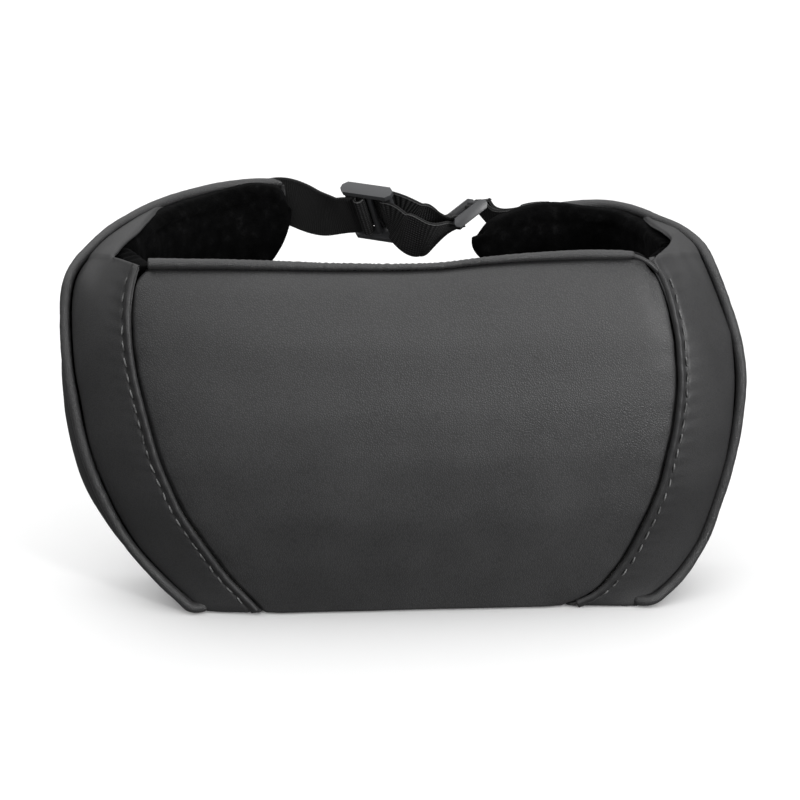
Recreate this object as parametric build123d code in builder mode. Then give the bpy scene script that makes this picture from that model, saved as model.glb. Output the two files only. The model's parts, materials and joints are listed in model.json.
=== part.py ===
from build123d import *
import os
from math import sin, cos, tan, pi, radians, hypot, sqrt, atan2

os.makedirs("parts", exist_ok=True)

# ----------------------------------------------------------------------------
# Strap-on headrest cushion for a chair back.
# Millimetres, +Z up. The origin is the centre of the flat underside that the
# cushion stands on. The head side faces -Y, the chair side faces +Y and
# +X is to the right of someone who looks at the head side.
# ----------------------------------------------------------------------------

# ---- driving dimensions -----------------------------------------------------
base_y = 36.0            # distance from the foremost point of the pad to the origin
leather_t = 1.3          # laminated cover sheet
velour_t = 1.5           # lining sheet
foam_gap = 2.2           # felt-thin air and seam allowance between the cover and the foam
piping_r = 2.4           # piping cord, half of about 4.8
welt_r = 1.6             # raised topstitched seam, half of its width
stitch_len = 4.4         # visible length of one stitch
stitch_pitch = 7.0       # distance from stitch to stitch
stitch_offset = 5.0      # stitch line, measured from the seam
webbing_w = 25.0         # 25 mm elastic webbing
webbing_t = 1.4
max_path_r = 260.0       # largest bend radius in a piping's path
hinge_y = 60.7           # fold line where a wing joins the pad
pad_back = 60.0          # flat back of the pad
wing_start = 62.3        # wings start just behind the fold line
wing_t_root = 13.0       # thickness of a wing at the fold
wing_t_tip = 8.5
zip_z = 30.0             # height of the zip on the back
zip_half = 88.0          # half of the zip's length

Z_LEVELS = [0, 10, 25, 45, 65, 85, 105, 122, 136, 147, 156]

# outline tables: height -> coordinate
L_PIPE_X = ([0, 7, 16, 31, 47, 62, 72, 81, 91, 101, 110, 128, 141, 151, 156],
            [-92, -100.5, -109, -121.8, -130.5, -136.4, -139.6, -142.1, -143.6, -145.1, -146.8, -147.6, -147.6, -145, -142])
R_PIPE_X = ([0, 3, 9, 19, 27, 37, 50, 64, 83, 101, 119, 127, 135, 143, 149, 156],
            [105, 113.8, 122, 130, 135.6, 139.8, 143.3, 147.3, 150, 151, 149.4, 148, 146, 143, 140.5, 137.5])
L_PIPE_Y = ([0, 7, 16, 32, 47, 62, 81, 100, 120, 135, 147, 156],
            [18, 20, 21, 24, 25.8, 27.8, 30.7, 34.8, 41, 48, 54.5, 57])
R_PIPE_Y = ([0, 3, 9, 19, 37, 50, 64, 83, 101, 119, 135, 147, 156],
            [13, 15, 18, 20.5, 25, 26, 28, 31, 35, 39.7, 47.5, 54, 57])
L_SEAM_X = ([0, 5, 19, 37, 54, 77, 89, 101, 116, 130, 141, 150, 159],
            [-64, -67.5, -79, -89.5, -98.9, -107.3, -110.3, -113, -116.3, -118.2, -118.5, -117.7, -113.5])
R_SEAM_X = ([0, 2.5, 10, 25, 43, 55, 64, 76, 87, 101, 110, 128, 133, 142, 150, 156, 160],
            [71.5, 80.8, 89.3, 98.9, 106.1, 110.5, 113.3, 115.4, 117.8, 119.3, 119.8, 118.4, 117.1, 115, 112, 108.3, 103.2])
SEAM_Y = ([0, 15, 50, 80, 110, 135, 150, 158], [15, 13.5, 9, 9, 13, 18, 24, 28])
FRONT_Y = ([0, 10, 25, 50, 80, 100, 130, 150, 157], [15.5, 12, 7, 1.5, 0, 1.5, 8, 17, 24])
BACK_Y = ([0, 12, 20, 105, 120, 135, 150, 157], [53, 58.5, 60, 60, 57.5, 50, 36, 29.5])
BACK95_Y = ([0, 12, 20, 110, 125, 140, 156], [53, 58.5, 60, 60, 58, 50, 38.5])
BACK118_Y = ([0, 12, 20, 110, 130, 147, 156], [53, 58.5, 60, 60, 59.5, 55, 50])
L_BULGE = ([0, 20, 50, 95, 125, 156], [0, 2.0, 4.2, 3.6, 0.8, 0])
R_BULGE = ([0, 20, 50, 95, 125, 156], [0, 1.0, 2.2, 1.6, 0.4, 0])


# ---- small helpers ----------------------------------------------------------
def at(table, z):
    zs, vs = table
    if z <= zs[0]:
        return vs[0]
    for i in range(len(zs) - 1):
        if z <= zs[i + 1]:
            f = (z - zs[i]) / (zs[i + 1] - zs[i])
            return vs[i] + f * (vs[i + 1] - vs[i])
    return vs[-1]


def smooth(table, z, span=6.0):
    """The table's value, averaged over a short height, so that its corners are soft."""
    steps = (-1.0, -0.5, 0.0, 0.5, 1.0)
    lo, hi = table[0][0], table[0][-1]
    total = 0.0
    for s in steps:
        total += at(table, min(max(z + s * span, lo), hi))
    return total / len(steps)


def yr(y):
    """Depth from the foremost point of the pad, in the part's own frame."""
    return y - base_y


def front_pt(z, x):
    """A point of the pad's front surface at height z and width x."""
    side_l = x < 0
    xs = smooth(L_SEAM_X if side_l else R_SEAM_X, z)
    xp = smooth(L_PIPE_X if side_l else R_PIPE_X, z)
    yp = min(smooth(L_PIPE_Y if side_l else R_PIPE_Y, z), 58.0)
    ysm = smooth(SEAM_Y, z)
    yc = smooth(FRONT_Y, z, 4.0)
    if abs(x) <= abs(xs):
        f = abs(x / xs) ** 2.4
        return (x, yc + (ysm - yc) * f)
    f = (abs(x) - abs(xs)) / (abs(xp) - abs(xs))
    return (x, ysm + (yp - ysm) * (0.45 * f + 0.55 * f * f))


def band_pts(z, left, n=6):
    xs = smooth(L_SEAM_X if left else R_SEAM_X, z)
    xp = smooth(L_PIPE_X if left else R_PIPE_X, z)
    return [front_pt(z, xp + (xs - xp) * i / (n - 1)) for i in range(n)]


def centre_pts(z, n=9):
    xl, xr = smooth(L_SEAM_X, z), smooth(R_SEAM_X, z)
    return [front_pt(z, xl + (xr - xl) * i / (n - 1)) for i in range(n)]


def corner_back(z, left):
    xp = smooth(L_PIPE_X if left else R_PIPE_X, z)
    yb = min(pad_back, smooth(([0, 12, 20, 156], [53, 58.5, 60, 60]), z, 3))
    inward = at(([0, 20, 110, 135, 156], [6, 1.5, 1.5, 5, 10]), z)
    return (xp + inward, yb) if left else (xp - inward, yb)


def side_pts(z, left):
    """From the piping round the side to the back corner."""
    xp = smooth(L_PIPE_X if left else R_PIPE_X, z)
    yp = min(smooth(L_PIPE_Y if left else R_PIPE_Y, z), 58.0)
    xb, yb = corner_back(z, left)
    bulge = at(L_BULGE if left else R_BULGE, z)
    s = -1 if left else 1
    return [(xp, yp), ((xp * 0.6 + xb * 0.4) + s * bulge, yp + 0.45 * (yb - yp)), (xb, yb)]


def back_pts(z):
    """From the left back corner to the right back corner."""
    xl, yl = corner_back(z, True)
    xr, yr_ = corner_back(z, False)
    k = 1.0 if z > 35 else 0.62 + 0.38 * z / 35
    pts = [(xl, yl)]
    for x, t in ((-118 * k, BACK118_Y), (-95 * k, BACK95_Y), (-55 * k, BACK_Y), (0, BACK_Y),
                 (55 * k, BACK_Y), (95 * k, BACK95_Y), (118 * k, BACK118_Y)):
        if xl + 4 < x < xr - 4:
            pts.append((x, smooth(t, z, 3.0)))
    pts.append((xr, yr_))
    return pts


def back_pts_n(z, n=9):
    """The back line resampled to the same number of points at every height."""
    src = back_pts(z)
    out = []
    xl, xr = src[0][0], src[-1][0]
    for i in range(n):
        x = xl + (xr - xl) * i / (n - 1)
        for a, b in zip(src, src[1:]):
            if a[0] - 1e-9 <= x <= b[0] + 1e-9:
                f = (x - a[0]) / (b[0] - a[0])
                out.append((x, a[1] + f * (b[1] - a[1])))
                break
    return out


def offset_pts(pts, d):
    """Points moved by d to the left of the direction of travel, in plan."""
    out = []
    for i, p in enumerate(pts):
        a = pts[max(i - 1, 0)]
        b = pts[min(i + 1, len(pts) - 1)]
        tx, ty = b[0] - a[0], b[1] - a[1]
        m = hypot(tx, ty)
        out.append((p[0] - ty / m * d, p[1] + tx / m * d))
    return out


def shift(pts):
    return [(p[0], yr(p[1])) for p in pts]


def sheet_section(z, pts, thick, gap=0.0):
    """A closed strip in plan: the line pts and the same line moved inwards."""
    a = offset_pts(pts, gap)
    b = offset_pts(pts, gap + thick)
    with BuildSketch(Plane.XY.offset(z)) as s:
        with BuildLine():
            Spline(*shift(a))
            Line(shift(a)[-1], shift(b)[-1])
            Spline(*shift(list(reversed(b))))
            Line(shift(b)[0], shift(a)[0])
        make_face()
    return s.sketch


def ring_section(z, inset):
    """The pad's whole outline at height z, moved inwards by inset."""
    front = offset_pts(band_pts(z, True, 5)[:-1] + centre_pts(z, 9) + list(reversed(band_pts(z, False, 5)))[1:], inset)
    back = offset_pts(list(reversed(back_pts_n(z))), inset)
    # the sides run from the last front point to the first back point
    xl, xr = front[0], front[-1]
    br, bl = back[0], back[-1]
    br = (br[0] - inset, br[1])
    bl = (bl[0] + inset, bl[1])
    back = [br] + back[1:-1] + [bl]
    xr = (xr[0] - inset, max(xr[1], front[-2][1] + 0.3))
    xl = (xl[0] + inset, max(xl[1], front[1][1] + 0.3))
    front = [xl] + front[1:-1] + [xr]
    with BuildSketch(Plane.XY.offset(z)) as s:
        with BuildLine():
            Spline(*shift(front))
            Line(shift(front)[-1], shift(back)[0])
            Spline(*shift(back))
            Line(shift(back)[-1], shift(front)[0])
        make_face()
    return s.sketch


def curved_section(top, mid, bot, n, a, b):
    """A closed strip through top, middle and bottom, from depth a to depth b along n."""
    o = Vector(*top)
    xd = Vector(*n).normalized()
    zd = xd.cross((Vector(*bot) - o).normalized()).normalized()
    pl = Plane(origin=o, x_dir=xd, z_dir=zd)
    outer = [pl.to_local_coords(Vector(*add3(p, n, a))) for p in (top, mid, bot)]
    inner = [pl.to_local_coords(Vector(*add3(p, n, b))) for p in (bot, mid, top)]
    outer = [(p.X, p.Y) for p in outer]
    inner = [(p.X, p.Y) for p in inner]
    with BuildSketch(pl) as s:
        with BuildLine():
            Spline(*outer)
            Line(outer[-1], inner[0])
            Spline(*inner)
            Line(inner[-1], outer[0])
        make_face()
    return s.sketch


def ribbon_sections(path, wdirs, width, thick):
    """Rectangles across a ribbon's path; wdirs are the directions of its width."""
    secs = []
    for i, p in enumerate(path):
        a = Vector(*path[max(i - 1, 0)])
        b = Vector(*path[min(i + 1, len(path) - 1)])
        t = (b - a).normalized()
        w = Vector(*wdirs[i])
        w = (w - t * w.dot(t)).normalized()
        pl = Plane(origin=Vector(*p), x_dir=w, z_dir=t)
        with BuildSketch(pl) as s:
            Rectangle(width, thick)
        secs.append(s.sketch)
    return secs


def path_radii(pts, k=0.42):
    """One radius for each corner, as large as its two runs allow."""
    radii = []
    v = [Vector(*p) for p in pts]
    for a, b, c in zip(v, v[1:], v[2:]):
        turn = radians((b - a).get_angle(c - b))
        radii.append(min(k * min((b - a).length, (c - b).length) / tan(max(turn, 0.01) / 2), max_path_r))
    return radii


def norm3(v):
    m = sqrt(sum(c * c for c in v))
    return tuple(c / m for c in v)


def add3(a, b, k=1.0):
    return tuple(p + q * k for p, q in zip(a, b))


# ---- foam core ---------------------------------------------------------------
with BuildPart() as foam_core:
    zs = [2.6] + Z_LEVELS[1:-1] + [152.5]
    loft(sections=[ring_section(z, leather_t + foam_gap) for z in zs])
foam_core.part.label = "foam_core"

# ---- cover sheets of the pad -------------------------------------------------
with BuildPart() as front_panel:
    loft(sections=[sheet_section(z, centre_pts(z), leather_t) for z in Z_LEVELS])
front_panel.part.label = "front_panel"


def cap_section(left):
    """The flap that closes the top of the pad beside the seam."""
    z = Z_LEVELS[-1] - 1.2
    f = band_pts(z, left, 6)
    pts = f if left else list(reversed(f))
    cb = corner_back(z, left)
    bk = [p for p in back_pts_n(z, 25) if abs(p[0]) > abs(f[-1][0]) and ((p[0] < 0) == left)]
    if not left:
        bk = list(reversed(bk))
    d = leather_t + velour_t + 0.3
    inner_front = offset_pts(f, leather_t * 0.6 if left else -leather_t * 0.6)
    inner_back = [(p[0], p[1] - d) for p in bk]
    s = 1 if left else -1
    inner_back[0] = (inner_back[0][0] + s * 2.2, inner_back[0][1])
    inner_front[0] = (inner_front[0][0] + s * 1.0, inner_front[0][1])
    poly = inner_front + list(reversed(inner_back))
    with BuildSketch(Plane.XY.offset(z)) as sk:
        with BuildLine():
            Polyline(*shift(poly), close=True)
        make_face()
    return sk.sketch


with BuildPart() as left_side_band:
    loft(sections=[sheet_section(z, band_pts(z, True), leather_t) for z in Z_LEVELS])
    extrude(cap_section(True), amount=1.2)
left_side_band.part.label = "left_side_band"

with BuildPart() as right_side_band:
    loft(sections=[sheet_section(z, list(reversed(band_pts(z, False))), leather_t) for z in Z_LEVELS])
    extrude(cap_section(False), amount=1.2)
right_side_band.part.label = "right_side_band"

with BuildPart() as left_gusset:
    loft(sections=[sheet_section(z, list(reversed(side_pts(z, True))), leather_t) for z in Z_LEVELS])
left_gusset.part.label = "left_gusset"

with BuildPart() as right_gusset:
    loft(sections=[sheet_section(z, side_pts(z, False), leather_t) for z in Z_LEVELS])
right_gusset.part.label = "right_gusset"


def lining_line(z):
    p = list(reversed(back_pts_n(z)))
    # stops short of the side pieces at each end
    p[0] = (p[0][0] - 2.1, p[0][1])
    p[-1] = (p[-1][0] + 2.1, p[-1][1])
    return p


with BuildPart() as back_lining:
    loft(sections=[sheet_section(z, lining_line(z), velour_t) for z in Z_LEVELS])
back_lining.part.label = "back_lining"

with BuildPart() as base_panel:
    with BuildSketch(Plane.XY):
        with BuildLine():
            b = [(-84, 20.5), (-66, 18.8), (0, 18.6), (74, 17.8), (96, 17.4), (92, 50.4), (0, 50.8), (-80, 50.4)]
            Polyline(*shift(b), close=True)
        make_face()
    extrude(amount=1.4)
base_panel.part.label = "base_panel"


# ---- piping, seam welts and stitches of the pad ---------------------------------
def edge_path(left):
    zs = [3.0, 9, 17, 28, 42, 58, 76, 94, 112, 126, 138, 147]
    out = []
    s = -1 if left else 1
    for z in zs:
        xp = smooth(L_PIPE_X if left else R_PIPE_X, z)
        yp = min(smooth(L_PIPE_Y if left else R_PIPE_Y, z), 56.5)
        out.append((xp + s * 0.9, yr(yp - 0.7), z))
    out.append((out[-1][0] - s * 1.6, yr(58.4), 151.0))
    return out


def tube(pts, r):
    """Sketch normal to the first run, and the path it follows."""
    radii = path_radii(pts)
    return radii


left_edge_pts = edge_path(True)
with BuildPart() as left_edge_piping:
    with BuildLine() as ln:
        FilletPolyline(*left_edge_pts, radius=path_radii(left_edge_pts))
    with BuildSketch(Plane(origin=ln.line @ 0, z_dir=ln.line % 0)):
        Circle(piping_r)
    sweep()
left_edge_piping.part.label = "left_edge_piping"

right_edge_pts = edge_path(False)
with BuildPart() as right_edge_piping:
    with BuildLine() as ln:
        FilletPolyline(*right_edge_pts, radius=path_radii(right_edge_pts))
    with BuildSketch(Plane(origin=ln.line @ 0, z_dir=ln.line % 0)):
        Circle(piping_r)
    sweep()
right_edge_piping.part.label = "right_edge_piping"

top_pts = [(-109, yr(27.0), 161.4), (-80, yr(25.6), 160.7), (-48, yr(25.2), 158.9), (-16, yr(25.0), 157.6),
           (16, yr(25.0), 157.6), (46, yr(25.2), 159.0), (76, yr(25.6), 160.3), (102, yr(26.8), 160.6)]
with BuildPart() as top_piping:
    with BuildLine() as ln:
        FilletPolyline(*top_pts, radius=path_radii(top_pts))
    with BuildSketch(Plane(origin=ln.line @ 0, z_dir=ln.line % 0)):
        Circle(piping_r)
    sweep()
top_piping.part.label = "top_piping"


def seam_path(left, out=0.55, along=0.0):
    zs = [3.0, 14, 28, 42, 57, 72, 87, 102, 117, 130, 142, 151]
    pts = []
    s = -1 if left else 1
    for z in zs:
        xs = smooth(L_SEAM_X if left else R_SEAM_X, z) + s * (1.4 + along)
        x, y = front_pt(z, xs)
        pts.append((x, yr(y - out), z))
    return pts


left_seam_pts = seam_path(True)
with BuildPart() as left_seam_welt:
    with BuildLine() as ln:
        FilletPolyline(*left_seam_pts, radius=path_radii(left_seam_pts))
    with BuildSketch(Plane(origin=ln.line @ 0, z_dir=ln.line % 0)):
        Circle(welt_r)
    sweep()
left_seam_welt.part.label = "left_seam_welt"

right_seam_pts = seam_path(False)
with BuildPart() as right_seam_welt:
    with BuildLine() as ln:
        FilletPolyline(*right_seam_pts, radius=path_radii(right_seam_pts))
    with BuildSketch(Plane(origin=ln.line @ 0, z_dir=ln.line % 0)):
        Circle(welt_r)
    sweep()
right_seam_welt.part.label = "right_seam_welt"


def stitch_locations(left):
    """Planes along the stitch line, one for each stitch."""
    s = -1 if left else 1
    fine = []
    z = 6.0
    while z <= 151.0:
        xs = smooth(L_SEAM_X if left else R_SEAM_X, z) + s * stitch_offset
        x, y = front_pt(z, xs)
        fine.append(Vector(x, yr(y - 0.28), z))
        z += 0.5
    locs = []
    run = 0.0
    nxt = 0.5
    for a, b in zip(fine, fine[1:]):
        d = (b - a).length
        if run + d >= nxt:
            t = (b - a).normalized()
            side = Vector(1, 0, 0)
            n = t.cross(side).normalized()
            locs.append(Plane(origin=a, x_dir=t, z_dir=n).location)
            nxt += stitch_pitch
        run += d
    return locs


with BuildPart() as seam_stitches:
    with Locations(*stitch_locations(True)):
        Box(stitch_len, 0.8, 0.5)
    with Locations(*stitch_locations(False)):
        Box(stitch_len, 0.8, 0.5)
seam_stitches.part.label = "seam_stitches"


# ---- zip in the back ------------------------------------------------------------
zip_y = yr(pad_back) + 0.35
with BuildPart() as zip_tape:
    with BuildSketch(Plane.XZ.offset(-(zip_y + 0.15))):
        with Locations((0, zip_z + 7.0), (0, zip_z - 7.0)):
            RectangleRounded(2 * zip_half + 8, 11.0, 1.0)
    extrude(amount=-0.7)
zip_tape.part.label = "zip_tape"

with BuildPart() as zip_coils:
    with BuildSketch(Plane.YZ.offset(-zip_half)):
        with Locations((zip_y + 1.75, zip_z + 1.15), (zip_y + 1.75, zip_z - 1.15)):
            Circle(0.95)
    extrude(amount=2 * zip_half)
zip_coils.part.label = "zip_coils"

with BuildPart() as zip_stops:
    with BuildSketch(Plane.XZ.offset(-(zip_y + 0.9))):
        with Locations((-(zip_half + 1.6), zip_z), ((zip_half + 1.6), zip_z)):
            RectangleRounded(2.4, 6.4, 0.5)
    extrude(amount=-2.0)
zip_stops.part.label = "zip_stops"

slider_x = -zip_half + 8.0
with BuildPart() as zip_slider:
    # a channel over the two coils, with a small bridge for the tab
    with BuildSketch(Plane.YZ.offset(slider_x - 5.0)):
        with BuildLine():
            Polyline((zip_y + 1.25, zip_z - 4.2), (zip_y + 4.5, zip_z - 4.2), (zip_y + 4.5, zip_z + 4.2),
                     (zip_y + 1.25, zip_z + 4.2), (zip_y + 1.25, zip_z + 2.6), (zip_y + 3.1, zip_z + 2.6),
                     (zip_y + 3.1, zip_z - 2.6), (zip_y + 1.25, zip_z - 2.6), close=True)
        make_face()
    extrude(amount=10.0)
    with BuildSketch(Plane.XY.offset(zip_z - 1.1)):
        with BuildLine():
            Polyline((slider_x - 3.0, zip_y + 4.4), (slider_x - 3.0, zip_y + 7.6), (slider_x + 3.0, zip_y + 7.6),
                     (slider_x + 3.0, zip_y + 4.4), (slider_x + 1.7, zip_y + 4.4), (slider_x + 1.7, zip_y + 6.5),
                     (slider_x - 1.7, zip_y + 6.5), (slider_x - 1.7, zip_y + 4.4), close=True)
        make_face()
    extrude(amount=2.2)
zip_slider.part.label = "zip_slider"

with BuildPart() as zip_pull:
    # the tab lies beside the slider; its eye runs through the bridge
    with BuildSketch(Plane.XZ.offset(-(zip_y + 4.95))):
        with BuildLine():
            Polyline((slider_x - 1.2, zip_z - 3.4), (slider_x + 19.0, zip_z - 3.4), (slider_x + 21.0, zip_z),
                     (slider_x + 19.0, zip_z + 3.4), (slider_x - 1.2, zip_z + 3.4), close=True)
        make_face()
        with Locations((slider_x + 2.6, zip_z)):
            Rectangle(5.0, 3.6, mode=Mode.SUBTRACT)
    extrude(amount=-1.1)
zip_pull.part.label = "zip_pull"


# ---- wings ----------------------------------------------------------------------
# outer line of each wing, from the fold to the tip:
# top (x, y, z), bottom (x, y, z), and how far the middle bulges outwards
L_WING = [((-145.6, 62.3, 152.5), (-134.8, 62.3, 48.0), 7.6),
          ((-140.6, 71.0, 155.5), (-134.5, 73.5, 55.0), 6.6),
          ((-132.6, 84.5, 158.8), (-129.5, 87.0, 63.0), 5.2),
          ((-121.8, 100.5, 161.4), (-121.5, 101.5, 73.0), 3.8),
          ((-109.0, 119.0, 162.2), (-109.5, 117.5, 84.0), 2.6),
          ((-94.0, 135.2, 162.2), (-95.0, 133.0, 96.0), 2.0),
          ((-78.0, 147.2, 162.0), (-79.0, 145.0, 109.0), 1.4),
          ((-62.5, 152.8, 161.6), (-63.0, 151.0, 124.0), 0.8),
          ((-50.5, 154.2, 160.8), (-50.5, 152.6, 138.5), 0.4)]
R_WING = [((140.6, 62.3, 150.5), (143.4, 62.3, 48.0), 9.6),
          ((135.0, 71.6, 153.0), (141.0, 74.5, 55.0), 8.2),
          ((129.8, 86.0, 155.2), (135.5, 88.5, 63.0), 6.4),
          ((124.0, 100.5, 155.6), (128.5, 102.5, 73.0), 4.4),
          ((116.2, 114.5, 155.6), (119.0, 115.5, 85.0), 3.0),
          ((104.5, 126.0, 155.6), (106.0, 125.5, 96.0), 2.0),
          ((88.5, 129.6, 155.6), (90.0, 128.6, 107.0), 1.4),
          ((71.0, 125.6, 155.6), (71.5, 124.4, 119.0), 0.9),
          ((54.5, 118.6, 154.6), (54.5, 117.0, 131.0), 0.5),
          ((44.0, 113.2, 153.0), (44.0, 111.8, 138.5), 0.3)]


def wing_normals(stations, left):
    """Unit vectors in plan that point from the outer face into the wing."""
    out = []
    for i in range(len(stations)):
        a = stations[max(i - 1, 0)][0]
        b = stations[min(i + 1, len(stations) - 1)][0]
        tx, ty = b[0] - a[0], b[1] - a[1]
        m = hypot(tx, ty)
        tx, ty = tx / m, ty / m
        # walking from the fold to the tip, the inside is on the right of the left wing
        out.append((ty, -tx) if left else (-ty, tx))
    out[0] = (1.0, 0.0) if left else (-1.0, 0.0)
    return out


def wing_sections(stations, left, t0, t1, inset):
    """t0 and t1 give a layer's outer and inner depth as functions of the wing's thickness."""
    ns = wing_normals(stations, left)
    n = len(stations)
    secs = []
    for i, ((tx, ty, tz), (bx, by, bz), bulge) in enumerate(stations):
        full = wing_t_root + (wing_t_tip - wing_t_root) * i / (n - 1)
        a, b = t0(full), t1(full)
        nx, ny = ns[i]
        # the bottom point is brought into the plane of the section
        top = (tx, yr(ty), tz - inset)
        bot = (bx, yr(by), bz + inset)
        mid = tuple((p + q) / 2 for p, q in zip(top, bot))
        mid = add3(mid, (nx, ny, 0), -bulge)
        secs.append(curved_section(top, mid, bot, (nx, ny, 0), a, b))
    return secs


def outer_layer(st, left):
    return wing_sections(st, left, lambda t: 0.0, lambda t: leather_t, 0.0)


def foam_layer(st, left):
    return wing_sections(st, left, lambda t: leather_t + 0.7, lambda t: t - velour_t - 1.0, 3.0)


def lining_layer(st, left):
    return wing_sections(st, left, lambda t: t - velour_t, lambda t: t, 0.0)


with BuildPart() as left_wing_foam:
    loft(sections=foam_layer(L_WING, True))
left_wing_foam.part.label = "left_wing_foam"
with BuildPart() as left_wing_cover:
    loft(sections=outer_layer(L_WING, True))
left_wing_cover.part.label = "left_wing_cover"
with BuildPart() as left_wing_lining:
    loft(sections=lining_layer(L_WING, True))
left_wing_lining.part.label = "left_wing_lining"

with BuildPart() as right_wing_foam:
    loft(sections=foam_layer(R_WING, False))
right_wing_foam.part.label = "right_wing_foam"
with BuildPart() as right_wing_cover:
    loft(sections=outer_layer(R_WING, False))
right_wing_cover.part.label = "right_wing_cover"
with BuildPart() as right_wing_lining:
    loft(sections=lining_layer(R_WING, False))
right_wing_lining.part.label = "right_wing_lining"


def wing_piping_pts(stations, left):
    ns = wing_normals(stations, left)
    out = []
    for i, ((tx, ty, tz), _, _) in enumerate(stations):
        nx, ny = ns[i]
        yy = ty + ny * 1.4
        if i == 0:
            yy = wing_start + 1.6
        if i == len(stations) - 1:
            tx, tz = tx + (-1.5 if left else 1.5), tz
        out.append((tx + nx * 1.4, yr(yy), tz + 0.9))
    return out


left_wing_pts = wing_piping_pts(L_WING, True)
with BuildPart() as left_wing_piping:
    with BuildLine() as ln:
        FilletPolyline(*left_wing_pts, radius=path_radii(left_wing_pts))
    with BuildSketch(Plane(origin=ln.line @ 0, z_dir=ln.line % 0)):
        Circle(piping_r)
    sweep()
left_wing_piping.part.label = "left_wing_piping"

right_wing_pts = wing_piping_pts(R_WING, False)
with BuildPart() as right_wing_piping:
    with BuildLine() as ln:
        FilletPolyline(*right_wing_pts, radius=path_radii(right_wing_pts))
    with BuildSketch(Plane(origin=ln.line @ 0, z_dir=ln.line % 0)):
        Circle(piping_r)
    sweep()
right_wing_piping.part.label = "right_wing_piping"


# ---- strap adjuster (three-bar slide) --------------------------------------------
adj_c = (-10.4, yr(134.0), 149.6)
adj_yaw = radians(-18)
adj_x = (cos(adj_yaw), sin(adj_yaw), 0.0)
adj_plane = Plane(origin=adj_c, x_dir=adj_x, z_dir=(0, 0, 1))
adj_len, adj_half_h, adj_depth = 26.5, 15.8, 7.0


def adj_pt(x, y, z=0.0):
    """A point given in the adjuster's own frame: along the strap, away from the head, up."""
    return (adj_c[0] + adj_x[0] * x - adj_x[1] * y, adj_c[1] + adj_x[1] * x + adj_x[0] * y, adj_c[2] + z)


with BuildPart() as adjuster:
    for zz in (adj_half_h - 2.4, -adj_half_h):
        with BuildSketch(adj_plane.offset(zz)):
            with BuildLine():
                h, d = adj_len / 2, adj_depth / 2
                Polyline((-h, -d + 2), (-h + 4, -d), (h - 4, -d), (h, -d + 2), (h, d - 2), (h - 4, d), (-h + 4, d), (-h, d - 2), close=True)
            make_face()
        extrude(amount=2.4)
    with BuildSketch(adj_plane.offset(-adj_half_h + 1.0)):
        with Locations((-11.2, 0), (0, 0), (11.2, 0)):
            RectangleRounded(2.7, 2.5, 0.8)
    extrude(amount=2 * adj_half_h - 2.0)
adjuster.part.label = "adjuster"

# ---- end ring ---------------------------------------------------------------------
ring_w = norm3((-0.12, 0.95, -0.28))      # along the webbing's width, away from the head
ring_l0 = (0.80, 0.20, 0.55)
dot = sum(a * b for a, b in zip(ring_w, ring_l0))
ring_l = norm3(tuple(a - b * dot for a, b in zip(ring_l0, ring_w)))
ring_near = (36.2, yr(118.0), 155.3)      # middle of the near end plate
ring_half = 14.3
ring_c = add3(ring_near, ring_w, ring_half)
ring_plane = Plane(origin=ring_c, x_dir=ring_l, z_dir=ring_w)
ring_len, ring_depth = 18.6, 5.2
ring_bar = 7.2

with BuildPart() as end_ring:
    for zz in (-ring_half - 1.2, ring_half - 1.2):
        with BuildSketch(ring_plane.offset(zz)):
            RectangleRounded(ring_len, ring_depth, 2.0)
        extrude(amount=2.4)
    with BuildSketch(ring_plane.offset(-ring_half)):
        with Locations((-ring_bar, 0), (ring_bar, 0)):
            Circle(1.35)
    extrude(amount=2 * ring_half)
end_ring.part.label = "end_ring"

# ---- webbing -----------------------------------------------------------------------
up = (0.0, 0.0, 1.0)
# from the left wing tip, in front of the first bar, behind the middle bar
web_path = [(-48.4, yr(149.6), 150.6), (-43.3, yr(147.6), 150.2), (-36.5, yr(143.6), 148.6), (-30.5, yr(139.6), 147.4),
            (-25.5, yr(136.6), 147.8), adj_pt(-13.6, -3.2, -0.5), adj_pt(-11.2, -2.9, -0.1), adj_pt(-8.4, -2.4, 0), adj_pt(-5.6, 0.1, -0.2),
            adj_pt(-2.8, 2.4, 0), adj_pt(0.0, 2.8, 0)]
with BuildPart() as strap_webbing:
    loft(sections=ribbon_sections(web_path, [up] * len(web_path), webbing_w - 1.6, webbing_t), ruled=True)
strap_webbing.part.label = "strap_webbing"

# the doubled length between the adjuster and the end ring
ring_a = add3(ring_c, ring_l, -ring_bar)     # middle of the bar that carries the loop
to_ring = norm3(tuple(-c for c in ring_w))
ring_n = norm3((ring_w[1] * ring_l[2] - ring_w[2] * ring_l[1],
                ring_w[2] * ring_l[0] - ring_w[0] * ring_l[2],
                ring_w[0] * ring_l[1] - ring_w[1] * ring_l[0]))   # ring_w x ring_l


def mix(a, b, f):
    return norm3(tuple(p + (q - p) * f for p, q in zip(a, b)))


fold_r = 2.8
front_end = add3(add3(ring_a, ring_n, -fold_r), ring_l, -0.2)
back_end = add3(add3(ring_a, ring_n, fold_r), ring_l, -0.2)
front_path = [adj_pt(0.6, 2.8, 0), adj_pt(2.8, 2.5, 0), adj_pt(5.6, 0.1, -0.2), adj_pt(8.4, -2.4, -0.4), adj_pt(11.4, -3.2, 0.4), adj_pt(14.6, -4.4, 0.0),
              (7.2, yr(122.4), 143.6), (14.5, yr(119.4), 141.4), (21.5, yr(121.6), 140.6), front_end]
front_w = [up, up, up, up, up, up, mix(up, to_ring, 0.22), mix(up, to_ring, 0.45), mix(up, to_ring, 0.72), to_ring]
back_path = [adj_pt(1.0, 4.6, 0), adj_pt(6.0, 4.7, 0), adj_pt(13.4, 4.4, -0.6),
             (8.8, yr(133.4), 143.8), (15.0, yr(132.6), 143.6), (21.5, yr(132.2), 145.2), back_end]
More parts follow.
